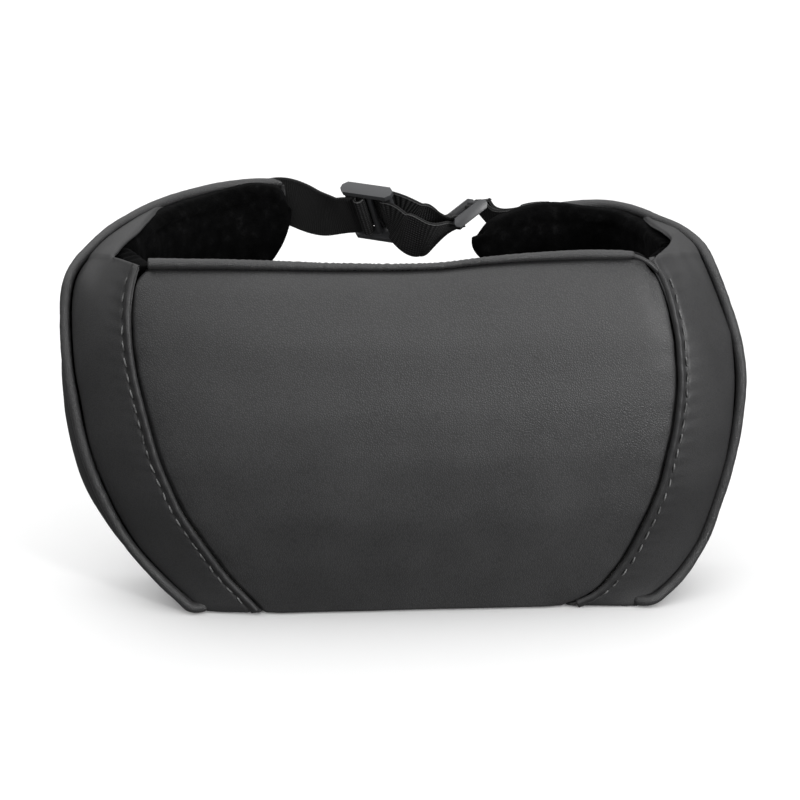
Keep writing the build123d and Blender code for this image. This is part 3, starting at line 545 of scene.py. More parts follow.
# ------------------------------------------------------------------ the pad's surfaces
def front_y(x, z):
    out = np.zeros(np.broadcast(x, z).shape)
    x = np.broadcast_to(x, out.shape); z = np.broadcast_to(z, out.shape)
    for s in "LR":
        m = (x < 0) if s == "L" else (x >= 0)
        xs, xp = SX[s](z), PX[s](z)
        f = np.abs(x / xs)
        inner = FY(z) + (SY(z) - FY(z)) * f ** 2.4
        g = (np.abs(x) - np.abs(xs)) / (np.abs(xp) - np.abs(xs))
        outer = SY(z) + (PY[s](z) - SY(z)) * (0.45 * g + 0.55 * np.abs(g) * g)
        out = np.where(m, np.where(f <= 1, inner, outer), out)
    return out


Z_TOP = 157.0
edge_mm = np.array([0, 0.35, 0.8, 1.4, 2.1, 3.0, 4.2, 5.8, 8.0, 10.5])


def roll(d, sharp, soft, r1=1.5, r2=6.0):
    return sharp * np.exp(-(d / r1) ** 2) + soft * np.exp(-(d / r2) ** 2)


ZTX = [-118, -115.6, -112, -85, -62, -45, -28, -2, 15, 32, 54, 80, 98.6, 105, 109]
ZTZ = [160.6, 162.2, 162.6, 162.1, 161.7, 161.1, 160.6, 160.2, 160.6, 162.2, 163.4, 163.9, 163.7, 162.8, 160.6]


def z_top(x):
    """Height of the front panel's upper edge."""
    return np.interp(x, ZTX, ZTZ)


def lift(x, z):
    """The panel's rows are spread upwards to its curved upper edge."""
    return z + (z_top(x) - 157.0) * smoothstep(112, 157, z)


def build_front():
    zrows = np.concatenate([[0.9, 2.0, 3.5, 5.5, 8.0], np.arange(10, 150, 1.7), [150, 151.5, 153, 154.2, 155.2, 156.0, 156.6]])
    Wd = 225.0
    cs = np.concatenate([[-0.9 / Wd], edge_mm / Wd, np.linspace(13 / Wd, 1 - 13 / Wd, 110), 1 - edge_mm[::-1] / Wd, [1 + 0.9 / Wd]])
    Z, C = np.meshgrid(zrows, cs, indexing="ij")
    xl, xr = SX["L"](Z), SX["R"](Z)
    X = xl + (xr - xl) * C
    Y = front_y(X, Z)
    P = np.stack([X, Y, lift(X, Z)], -1)
    # the leather pillows a little between its seams
    N = grid_normals(P)
    if N[len(zrows) // 2, len(cs) // 2, 1] > 0:
        N = -N
    dl, dr = np.maximum(X - xl, 0), np.maximum(xr - X, 0)
    dtop = 157.6 - Z
    d = roll(dl, 1.7, 1.0, 1.3, 6.0) + roll(dr, 1.7, 1.0, 1.3, 6.0) + 2.3 * np.exp(-(dtop / 1.5) ** 2) + 0.6 * np.exp(-(dtop / 5) ** 2)
    d += 0.10 * wob(P, 70, 3) + 0.05 * wob(P, 28, 4) * (np.exp(-(dl / 22) ** 2) + np.exp(-(dr / 22) ** 2) + 0.3)
    # faint pulls that run in from the side seams
    pull = np.sin(2 * pi * Z / 13.0 + 1.3 * wob(P, 60, 5)) * (np.exp(-(dl / 9) ** 2) + np.exp(-(dr / 9) ** 2))
    d += 0.10 * pull
    P = P - N * d[..., None]
    # both upper corners are rounded
    for e, way, R in ((dl, 1, 8.0), (dr, -1, 6.0)):
        u = np.clip(1 - e / R, 0, 1); w = np.clip(1 - (157.0 - Z) / R, 0, 1)
        P[..., 0] += way * R * u * (1 - np.sqrt(1 - w ** 2 / 2))
        P[..., 2] -= R * w * (1 - np.sqrt(1 - u ** 2 / 2))
    # tuck under at the bottom
    low = P[0]
    rows = [low + [0, 5.5, -0.75], low + [0, 3.2, -0.8], low + [0, 1.6, -0.75], low + [0, 0.6, -0.5]]
    P = np.concatenate([np.array(rows), P])
    P[..., 2] = np.maximum(P[..., 2], 0.05)
    top = P[-1]
    P = np.concatenate([P, [top + [0, 0.9, 0.3], top + [0, 2.0, 0.2], top + [0, 3.0, -0.8], top + [0, 3.4, -2.4]]])
    ob = sheet("cover_front", P, 1.2, out=(0, -1, 0.2))
    recalc(ob)
    return put(ob, M_PANEL, "cushion", ["front_panel"])


# the band's upper edge, from the piping (0) to the seam (1), and where the velour meets it
C_STAR = {"L": 0.56, "R": 0.93}
PIPE_TOP = {"L": (133, 179), "R": (130, 170)}
E_MID = {"L": (-126.2, 46.0, 159.2), "R": (123.0, 43.0, 157.0)}
B_LINE = {"L": [(-123.5, 61.1, 159.2), (-121.1, 70.4, 159.4), (-117.1, 81.3, 160.2), (-113.5, 92.4, 161.4)],
          "R": [(114.6, 43.5, 159.8), (120.7, 59, 158.6), (122.0, 72.2, 157.5), (117.8, 88.9, 157.0)]}


def pipe_inner(side, i0, i1, n):
    """A line on the pad's side of the edge piping, n points from one place on it to another."""
    P = PIPE[side][i0:i1 + 1]
    hub = np.array([-100.0, 72.0, 0]) if side == "L" else np.array([96.0, 72.0, 0])
    d = hub - P
    d[:, 2] = 0
    d = unit(d)
    Q = P + d * 1.0 + np.array([0, 0.25, -0.2])
    t = chord(Q)
    return np.stack([np.interp(np.linspace(0, t[-1], n), t, Q[:, k]) for k in range(3)], 1)


def band_cols():
    Wd = 32.0
    return np.concatenate([edge_mm[:8] / Wd, np.linspace(8 / Wd, 1 - 9.5 / Wd, 14), 1 - np.array([8.2, 7.2, 6.4, 5.8, 5.2, 4.6, 4.0, 3.2, 2.4, 1.8, 1.3, 0.8, 0.4, 0.0]) / Wd])


Z_SPLIT = 122.0


def band_surface(side):
    """The band before its seams pull it in: (rows, columns, 3), its lower rows by height, its upper ones to its edge."""
    s = SIDE[side]
    cs = band_cols()
    z1 = np.concatenate([[0.9, 1.9, 3.2, 5.0, 7.0], np.arange(9, Z_SPLIT - 1, 1.7), [Z_SPLIT]])
    Z, C = np.meshgrid(z1, cs, indexing="ij")
    X = PX[side](Z) + (SX[side](Z) - PX[side](Z)) * C
    low = np.stack([X, front_y(X, Z), lift(X, Z)], -1)
    nt = 26
    t = np.linspace(0, 1, nt)
    P0 = low[-1]
    T0 = (low[-1] - low[-3]); T0 = unit(T0)
    i0 = int(np.argmin(np.abs(PIPE[side][:150, 2] - Z_SPLIT)))
    i1 = PIPE_TOP[side][0]
    edge0 = pipe_inner(side, i0, i1, nt)
    edge0 += (P0[0] - edge0[0])[None] * (1 - t)[:, None] ** 2
    zz = Z_SPLIT + (156.6 - Z_SPLIT) * t
    xx = SX[side](zz)
    edge1 = np.stack([xx, front_y(xx, zz), lift(xx, zz)], -1)
    E = natural([0, 0.55, 1.0], np.array([edge0[-1], E_MID[side], edge1[-1]]))(cs)
    T1a = unit(edge0[-1] - edge0[-3]); T1b = unit(edge1[-1] - edge1[-3])
    T1 = unit(T1a * (1 - cs)[:, None] + T1b * cs[:, None])
    ln = np.linalg.norm(E - P0, axis=1)[:, None]
    h = lambda q: (2 * q ** 3 - 3 * q ** 2 + 1, q ** 3 - 2 * q ** 2 + q, -2 * q ** 3 + 3 * q ** 2, q ** 3 - q ** 2)
    up = []
    for q in t:
        a, b, c_, d_ = h(q)
        up.append(a * P0 + b * T0 * ln + c_ * E + d_ * T1 * ln)
    up = np.array(up)
    k0 = edge0 - up[:, 0]; k1 = edge1 - up[:, -1]
    up = up + k0[:, None, :] * ((1 - cs) ** 2)[None, :, None] + k1[:, None, :] * (cs ** 2)[None, :, None]
    P = np.concatenate([low, up[1:]])
    return cs, P


def seam_line(side, off, n, depth=0.0, z_lo=1.6, z_hi=None):
    """n points on the band, off mm from the seam, from near the floor to the upper edge."""
    cs, P = BAND[side]
    wid = np.linalg.norm(P[:, -1] - P[:, 0], axis=1)
    rows = []
    for r in range(len(P)):
        c = 1 - off / wid[r]
        rows.append([np.interp(c, cs, P[r, :, k]) for k in range(3)])
    Q = np.array(rows)
    m = Q[:, 2] >= z_lo
    Q = Q[m]
    if z_hi is not None:
        Q = Q[:-z_hi]
    t = chord(Q)
    Q = np.stack([np.interp(np.linspace(0, t[-1], n), t, Q[:, k]) for k in range(3)], 1)
    Q[:, 1] -= depth
    return Q


def build_band(side):
    """The side band, which runs on over its upper edge as the flap beside the wing's piping."""
    s = SIDE[side]
    cs, P = BAND[side]
    nr, nc = P.shape[:2]
    C = np.tile(cs, (nr, 1))
    N = grid_normals(P)
    if N[20, 15, 1] > 0:
        N = -N
    wid = np.linalg.norm(P[:, -1] - P[:, 0], axis=1)[:, None]
    L = np.concatenate([[0], np.cumsum(np.linalg.norm(np.diff(P[:, nc // 2], axis=0), axis=1))])[:, None]
    dp, ds = C * wid, (1 - C) * wid
    d = roll(dp, 1.6, 0.9, 1.6, 5.0) + 1.2 * np.exp(-(ds / 0.8) ** 2)
    d += 0.55 * np.exp(-((ds - 4.9) / 0.8) ** 2)
    d += 0.22 * np.exp(-((ds - 4.9) / 1.2) ** 2) * np.cos(2 * pi * L / 7.0)
    d += 0.10 * np.exp(-((ds - 8) / 6.0) ** 2) * np.sin(2 * pi * L / 7.0 + 0.8)
    d += 0.14 * wob(P, 40, 11 if side == "L" else 12)
    hgt = P[..., 2]
    d += 1.5 * (1 - np.sqrt(np.clip(1 - ((5 - np.minimum(hgt, 5)) / 5) ** 2, 0, 1)))
    # pulls that run down from the upper edge
    near_top = np.exp(-((L[-1] - L) / 16.0) ** 2)
    d += 0.18 * near_top * np.sin(2 * pi * C * 3.1 + 1.2 * wob(P, 30, 13)) * (C > 0.1)
    P = P - N * d[..., None]
    low = P[0]
    rows = [low + [0, 5.0, -0.8], low + [0, 2.8, -0.85], low + [0, 1.3, -0.75], low + [0, 0.5, -0.45]]
    P = np.concatenate([np.array(rows), P])
    P[..., 2] = np.maximum(P[..., 2], 0.05)
    top = P[-1]
    cstar = C_STAR[side]
    kf = int(np.searchsorted(cs, cstar))                    # columns 0..kf run on as the flap
    i0, i1 = PIPE_TOP[side]
    nt = 44
    A = pipe_inner(side, i0, i1, nt)
    A += (top[0] - A[0])[None] * np.exp(-np.linspace(0, 1, nt) * 9)[:, None]
    endp = A[-1] + np.array([1.0 if side == "L" else -1.0, 0.6, -0.3])
    B = spline(np.array([top[kf] + [0, 0, 0.4]] + B_LINE[side] + [endp]), nt)
    js = np.linspace(0, 1, kf + 1)
    flap = A[:, None] * (1 - js)[None, :, None] + B[:, None] * js[None, :, None]
    tt = np.linspace(0, 1, nt)
    # start of the flap from the band's true upper edge
    gap = top[:kf + 1] - flap[0]
    flap += gap[None] * np.exp(-tt * 12)[:, None, None]
    run = np.concatenate([np.zeros((1, kf + 1)), np.cumsum(np.linalg.norm(np.diff(flap, axis=0), axis=2), axis=0)])
    flap[..., 2] += 1.3 * (1 - np.exp(-run / 1.6)) * np.exp(-run / 60.0)
    wide = np.linalg.norm(B - A, axis=1)[:, None]
    da, db = js[None] * wide, (1 - js[None]) * wide
    flap[..., 2] += 0.6 * np.sin(pi * js)[None, :]
    flap[..., 2] -= 2.3 * np.exp(-(da / 1.9) ** 2) * (1 - np.exp(-run / 4)) * (1 - tt[:, None] ** 3)
    flap[..., 2] -= 1.1 * np.exp(-(db / 1.3) ** 2) * (1 - np.exp(-run / 4))
    flap[..., 2] += 0.22 * wob(flap, 20, 71) + 0.10 * np.sin(run / 2.1 + wob(flap, 12, 72)) * np.exp(-db / 4)
    flap = flap[1:]
    # the rest of the edge turns down behind
    tuck = np.array([top[kf:] + [0, 0.5, 0.5], top[kf:] + [0, 1.4, 0.75], top[kf:] + [0, 2.5, 0.4], top[kf:] + [0, 3.2, -0.8], top[kf:] + [0, 3.4, -2.4]])
    V = list(P.reshape(-1, 3)); nr = len(P)
    idx = np.arange(nr * nc).reshape(nr, nc)
    fi = len(V) + np.arange(flap.shape[0] * flap.shape[1]).reshape(flap.shape[:2]); V += list(flap.reshape(-1, 3))
    ti = len(V) + np.arange(tuck.shape[0] * tuck.shape[1]).reshape(tuck.shape[:2]); V += list(tuck.reshape(-1, 3))
    F = []

    def quads(M):
        for i in range(M.shape[0] - 1):
            for j in range(M.shape[1] - 1):
                F.append((int(M[i, j]), int(M[i + 1, j]), int(M[i + 1, j + 1]), int(M[i, j + 1])))
    quads(idx)
    quads(np.concatenate([idx[-1:, :kf + 1], fi]))
    quads(np.concatenate([idx[-1:, kf:], ti]))
    ob = add_mesh("side_band_" + side, np.array(V), F)
    import bmesh
    q = ob.data.polygons[(nr // 2) * (nc - 1) + nc // 2]
    if q.normal.y > 0:
        bm = bmesh.new(); bm.from_mesh(ob.data); bmesh.ops.reverse_faces(bm, faces=bm.faces); bm.to_mesh(ob.data); bm.free()
    so = ob.modifiers.new("s", "SOLIDIFY"); so.thickness = 0.0010; so.offset = -1.0
    apply_mods(ob)
    return put(ob, M_SIDE, blend=hinge_blend(side, 54, 76), replaces=["left_side_band" if side == "L" else "right_side_band"])


# ------------------------------------------------------------------ piping
def piping_path(side):
    s = SIDE[side]
    pts = [(PX[side](2.6) - s * 15, PY[side](2.6) + 9.5, 2.7), (PX[side](2.6) - s * 6.5, PY[side](2.6) + 2.6, 2.6)]
    for z in [3.4, 6.5, 12, 20, 31, 44, 58, 73, 88, 103, 118, 130, 140, 147]:
        inw = 0.0 if side == "L" else 2.6 * np.exp(-((z - 45) / 42.0) ** 2) + 4.0 * smoothstep(105, 140, z)
        pts.append((PX[side](z) + s * (0.9 - inw * 0.6), min(PY[side](z), 56.5) - 0.6, z))
    st = WING[side]
    n = len(st)
    tops = np.array([t for t, _, _ in st], float)
    tan = unit(np.gradient(tops[:, :2], axis=0))
    nrm = np.stack([tan[:, 1], -tan[:, 0]], 1) if side == "L" else np.stack([-tan[:, 1], tan[:, 0]], 1)
    fix = {1: (2.6, 0.0, 0.9), 2: (1.3, 0.0, 0.6), 6: (0, 0.5, -0.6), 7: (0, 1.2, -2.0), 8: (1.0, 2.2, -4.6), 9: (5.0, 4.5, -8.5)} if side == "R" else {}
    for i in range(1, n):
        x, y, z = tops[i] + np.array(fix.get(i, (0.0, 0.0, 0.0)))
        pts.append((x + nrm[i, 0] * 1.4, y + nrm[i, 1] * 1.4, z + (0.4 if i > 1 else -0.6)))
    pts[-1] = (pts[-1][0] + s * -0.8, pts[-1][1], pts[-1][2])
    return np.array(pts)


PIPE = {k: spline(piping_path(k), 240)[10:] for k in "LR"}
BAND = {k: band_surface(k) for k in "LR"}


def build_piping(side):
    C = PIPE[side]
    n = len(C)
    L = chord(C)
    r = 2.35 + 0.05 * np.sin(L / 9.0) + 0.04 * np.sin(L / 3.7 + 1)
    r *= 1 - 0.18 * smoothstep(L[-1] - 60, L[-1], L)

    def disp(V, T, N, B, th):
        return (unit(V - C[:, None, :])) * (0.05 * wob(V, 6.0, 21) + 0.035 * wob(V, 2.6, 22))[..., None]
    ob = tube("edge_piping_" + side, C, r, 22, caps=(1, 1), disp=disp)
    w = "left" if side == "L" else "right"
    return put(ob, M_PIPE, blend=hinge_blend(side), replaces=[w + "_edge_piping", w + "_wing_piping"])


def build_top_piping():
    pts = [(-109.6, 25.6, 164.0), (-85.4, 25.5, 163.5), (-61.9, 25.5, 162.7), (-44.8, 25.5, 161.9), (-27.6, 25.5, 161.2), (-1.8, 25.5, 160.7), (15.4, 25.5, 161.0),
           (32.7, 25.5, 162.7), (54.3, 25.5, 164.2), (80.3, 25.5, 164.9), (98.4, 25.7, 164.4)]
    C = spline(pts, 240)
    L = chord(C)
    x = C[:, 0]
    r = np.interp(x, [-110, -85, -62, -45, -28, -2, 15, 33, 54, 80, 94, 99], [2.35, 2.15, 2.0, 1.8, 1.6, 1.4, 1.4, 1.55, 1.8, 2.05, 1.9, 1.5])
    C[:, 2] += 0.08 * np.sin(L / 4.3) * np.exp(-((x + 10) / 55) ** 2)

    def disp(V, T, N, B, th):
        c = C[:, None, :]
        k = np.exp(-((V[..., 0] + 15) / 58) ** 2)
        wr = np.sin(V[..., 0] * 2 * pi / 2.6 + 1.7 * wob(V, 12, 31) + 0.9 * np.sin(th)[None, :])
        return unit(V - c) * (0.15 * wr * (0.22 + k) + 0.06 * wob(V, 5, 32))[..., None]
    ob = tube("top_edge_piping", C, r, 24, caps=(0, 1), squash=(1.05, 1.0), disp=disp)
    put(ob, M_PIPE, "cushion", ["top_piping"])
    # the right seam's roll turns in at the corner to meet the piping
    C = spline([(109.6, 25.2, 157.2), (107.5, 24.9, 159.5), (105.2, 24.9, 161.3), (101.8, 25.2, 163.1), (98.4, 25.7, 164.1)], 60)
    ob = tube("seam_corner_R", C, np.linspace(1.15, 0.95, 60), 16)
    return put(ob, M_SIDE, "cushion")


# ------------------------------------------------------------------ seam welt and stitches
def build_welt(side):
    """The ridge beside the seam: steep at the seam, falling gently to the stitched line."""
    C = seam_line(side, 1.9, 220)
    D = seam_line(side, 3.4, 220)
    T = unit(np.gradient(C, axis=0))
    A = unit(D - C)
    A = unit(A - T * (A * T).sum(1, keepdims=True))
    O = unit(np.cross(A, T))
    if O[100, 1] > 0:
        O = -O
    a = np.linspace(0, 1, 17)
    p1 = -1.75 + 1.2 * (1 - np.cos(a[:9] * pi))                     # seam side
    up = []
    for q in np.linspace(0, 1, 9):
        up.append((-1.75 + 1.35 * (1 - cos(q * pi / 2)), -0.7 + 1.75 * sin(q * pi / 2)))
    for q in np.linspace(0, 1, 12)[1:]:
        up.append((-0.4 + 3.0 * q, -0.55 + 1.60 * (1 + cos(pi * q)) / 2))
    down = [(2.4, -1.0), (0.5, -1.3), (-1.2, -1.3)]
    prof = np.array(up + down)
    V = C[:, None, :] + prof[None, :, :1] * A[:, None, :] + prof[None, :, 1:] * O[:, None, :]
    L = chord(C)
    wv = np.zeros(len(prof)); wv[4:18] = 1
    V = V + O[:, None, :] * ((0.06 * wob(V, 7, 41) + 0.07 * np.cos(2 * pi * L / 7.0)[:, None]) * wv[None, :])[..., None]
    ob = loops_to_mesh("seam_welt_" + side, V)
    recalc(ob)
    return put(ob, M_SIDE, "cushion", ["left_seam_welt" if side == "L" else "right_seam_welt"])


def build_stitches():
    Vs, Fs, off = [], [], 0
    seg = 8
    th = np.linspace(0, 2 * pi, seg, endpoint=False)
    for side in "LR":
        s = SIDE[side]
        C = seam_line(side, 4.9, 700, -0.30, 4.0, 2)
        L = chord(C)
        k = 0
        q = 1.0
        while q < L[-1] - 5:
            ln = 4.5 + RNG.uniform(-0.35, 0.35)
            tt = np.linspace(q, q + ln, 9)
            line = np.stack([np.interp(tt, L, C[:, i]) for i in range(3)], 1)
            f = np.linspace(0, 1, 9)
            line[:, 1] -= 0.42 * np.sin(pi * f) - 0.35 * (np.abs(f - 0.5) * 2) ** 6
            side_tilt = RNG.uniform(-0.35, 0.35)
            line[:, 0] += side_tilt * (f - 0.5) * 2
            T, N, B = frames(line)
            r = 0.41 * np.sqrt(np.clip(1 - (np.abs(f - 0.5) * 2) ** 5, 0.08, 1))
            ring = line[:, None, :] + r[:, None, None] * (np.cos(th)[None, :, None] * N[:, None, :] + np.sin(th)[None, :, None] * B[:, None, :])
            V = ring.reshape(-1, 3)
            V = np.concatenate([V, [line[0]], [line[-1]]])
            m = len(ring)
            F = []
            for i in range(m - 1):
                for j in range(seg):
                    kk = (j + 1) % seg
                    F.append((off + i * seg + j, off + i * seg + kk, off + (i + 1) * seg + kk, off + (i + 1) * seg + j))
            a, b = off + m * seg, off + m * seg + 1
            for j in range(seg):
                kk = (j + 1) % seg
                F.append((a, off + kk, off + j)); F.append((b, off + (m - 1) * seg + j, off + (m - 1) * seg + kk))
            Vs.append(V); Fs += F; off += len(V)
            q += 7.0
            k += 1
    ob = add_mesh("seam_threads", np.concatenate(Vs), Fs)
    recalc(ob)
    return put(ob, M_THR, "cushion", ["seam_stitches"])


# ------------------------------------------------------------------ wings
class Wing:
    def __init__(self, side):
        st = WING[side]
        self.side = side
        top = np.array([a for a, _, _ in st], float); bot = np.array([b for _, b, _ in st], float); bul = np.array([c for _, _, c in st], float)
        self.L = chord((top + bot) / 2)
        self.f = natural(self.L, np.concatenate([top, bot, bul[:, None]], 1))
        self.len = self.L[-1]

    def data(self, s):
        d = self.f(s)
        top, bot, bul = d[:, :3], d[:, 3:6], d[:, 6]
        e = self.f(np.clip(np.asarray(s) + 0.5, 0, self.len)); g = self.f(np.clip(np.asarray(s) - 0.5, 0, self.len))
        t = unit((e - g)[:, :2])
        n = np.stack([t[:, 1], -t[:, 0]], 1) if self.side == "L" else np.stack([-t[:, 1], t[:, 0]], 1)
        ext = np.clip(np.asarray(s), None, 0)                       # s clipped to zero and below, the part before the fold
        n3 = np.concatenate([n, np.zeros((len(n), 1))], 1)
        T = T_ROOT + (T_TIP - T_ROOT) * np.clip(np.asarray(s) / self.len, 0, 1)
        return top, bot, bul, n3, T

    def surf(self, s, f):
        """Outer surface; f is 0 at the top and 1 at the bottom."""
        top, bot, bul, n3, T = self.data(s)
        f = np.asarray(f)
        return top[:, None] * (1 - f)[None, :, None] + bot[:, None] * f[None, :, None] - n3[:, None] * (bul[:, None] * 4 * f * (1 - f))[..., None]


W = {k: Wing(k) for k in "LR"}


def build_outer(side):
    """The leather that runs from the edge piping round the side and along the outside of the wing."""
    w = W[side]; s = SIDE[side]
    fs = np.linspace(0.0, 1.0, 44)
    ss = np.concatenate([np.linspace(0, w.len - 6, 90), w.len - np.array([5, 4, 3, 2.2, 1.5, 1.0, 0.5, 0])])
    P = w.surf(ss, fs)                                          # (s, f, 3)
    # edges roll inwards at the bottom and the tip
    n3 = w.data(ss)[3][:, None, :]
    hgt = np.linalg.norm(P[:, 0] - P[:, -1], axis=1)[:, None]
    dbot = (1 - fs)[None, :] * hgt; dtip = (w.len - ss)[:, None] + 0 * dbot
    P = P + n3 * (3.0 * np.exp(-(dbot / 3.2) ** 2) + 2.6 * np.exp(-(dtip / 3.0) ** 2) * np.ones_like(dbot))[..., None]
    P = P - n3 * (0.35 * wob(P, 55, 51) + 0.15 * wob(P, 19, 52))[..., None]
    # side of the pad, in the same rows
    g = np.linspace(0, 1, 16)[:-1]
    zr = P[0, :, 2]
    root = P[0]
    low_z = np.linspace(zr[-1], 0.6, 22)[1:]
    lx = PX[side](low_z) + s * np.interp(low_z, [0, 20, 48], [-5, -1.0, 1.2])
    lowroot = np.stack([lx, np.interp(low_z, [0, 12, 20, 60], [53, 58.5, 60.5, 62.3]), low_z], -1)
    # the end of the wing's lower edge is drawn in smoothly to the side of the pad
    allroot = np.concatenate([root, lowroot])
    k = len(root)
    z_all = allroot[:, 2]
    sm = natural(np.array([0, 20, 40, 60, 80, 100, 125, 152.5]), np.interp(np.array([0, 20, 40, 60, 80, 100, 125, 152.5]), z_all[::-1], allroot[::-1, 0]))
    allroot[k - 6:, 0] = 0.5 * allroot[k - 6:, 0] + 0.5 * sm(z_all[k - 6:])
    P[0] = allroot[:k]
    fr = []
    for gi in g:
        xp, yp = PX[side](z_all), np.minimum(PY[side](z_all), 57.5)
        px = xp + s * 0.2; py = yp + 0.3
        bul = np.interp(z_all, [0, 8, 25, 50, 90, 115, 140, 156], [1.0, 5.5, 9.5, 9.6, 7.6, 4.0, 0.8, 0]) if side == "L" else np.interp(z_all, [0, 20, 50, 95, 125, 156], [0, 1.0, 2.0, 1.6, 0.6, 0])
        x = px + (allroot[:, 0] - px) * gi + s * bul * np.sin(pi * min(1.0, gi ** 0.8)) * (1 - 0.25 * gi)
        y = py + (allroot[:, 1] - py) * gi
        fr.append(np.stack([x, y, z_all], -1))
    G = np.array(fr)                                             # (g, rows, 3)
    G[0, :, 0] -= s * 1.0
    G = G + np.array([s, 0, 0]) * (0.25 * wob(G, 45, 53) * np.sin(pi * g)[:, None])[..., None]
    # one vertex list: pad part, then wing part without its first column
    nG, nR = G.shape[:2]
    V = list(G.reshape(-1, 3)); idxG = np.arange(nG * nR).reshape(nG, nR)
    rootidx = len(V) + np.arange(nR); V += list(allroot)
    nS, nF = P.shape[:2]
    wi = len(V) + np.arange((nS - 1) * nF).reshape(nS - 1, nF); V += list(P[1:].reshape(-1, 3))
    F = []
    cols = [idxG[i] for i in range(nG)] + [rootidx]
    for a, b in zip(cols, cols[1:]):
        for j in range(nR - 1):
            F.append((a[j], b[j], b[j + 1], a[j + 1]))
    wcols = [rootidx[:nF]] + [wi[i] for i in range(nS - 1)]
    for a, b in zip(wcols, wcols[1:]):
        for j in range(nF - 1):
            F.append((a[j], b[j], b[j + 1], a[j + 1]))
    F = [tuple(int(q) for q in (f if side == "R" else f[::-1])) for f in F]
    ob = add_mesh("outer_cover_" + side, np.array(V), F)
    # orient outwards, then give it thickness
    c = ob.data.polygons[len(ob.data.polygons) // 3]
    if (c.normal.x * s) < 0:
        import bmesh
        bm = bmesh.new(); bm.from_mesh(ob.data); bmesh.ops.reverse_faces(bm, faces=bm.faces); bm.to_mesh(ob.data); bm.free()
    so = ob.modifiers.new("s", "SOLIDIFY"); so.thickness = 0.0011; so.offset = -1.0
    apply_mods(ob)
    w_ = "left" if side == "L" else "right"
    return put(ob, M_SIDE, blend=hinge_blend(side), replaces=[w_ + "_gusset", w_ + "_wing_cover"])


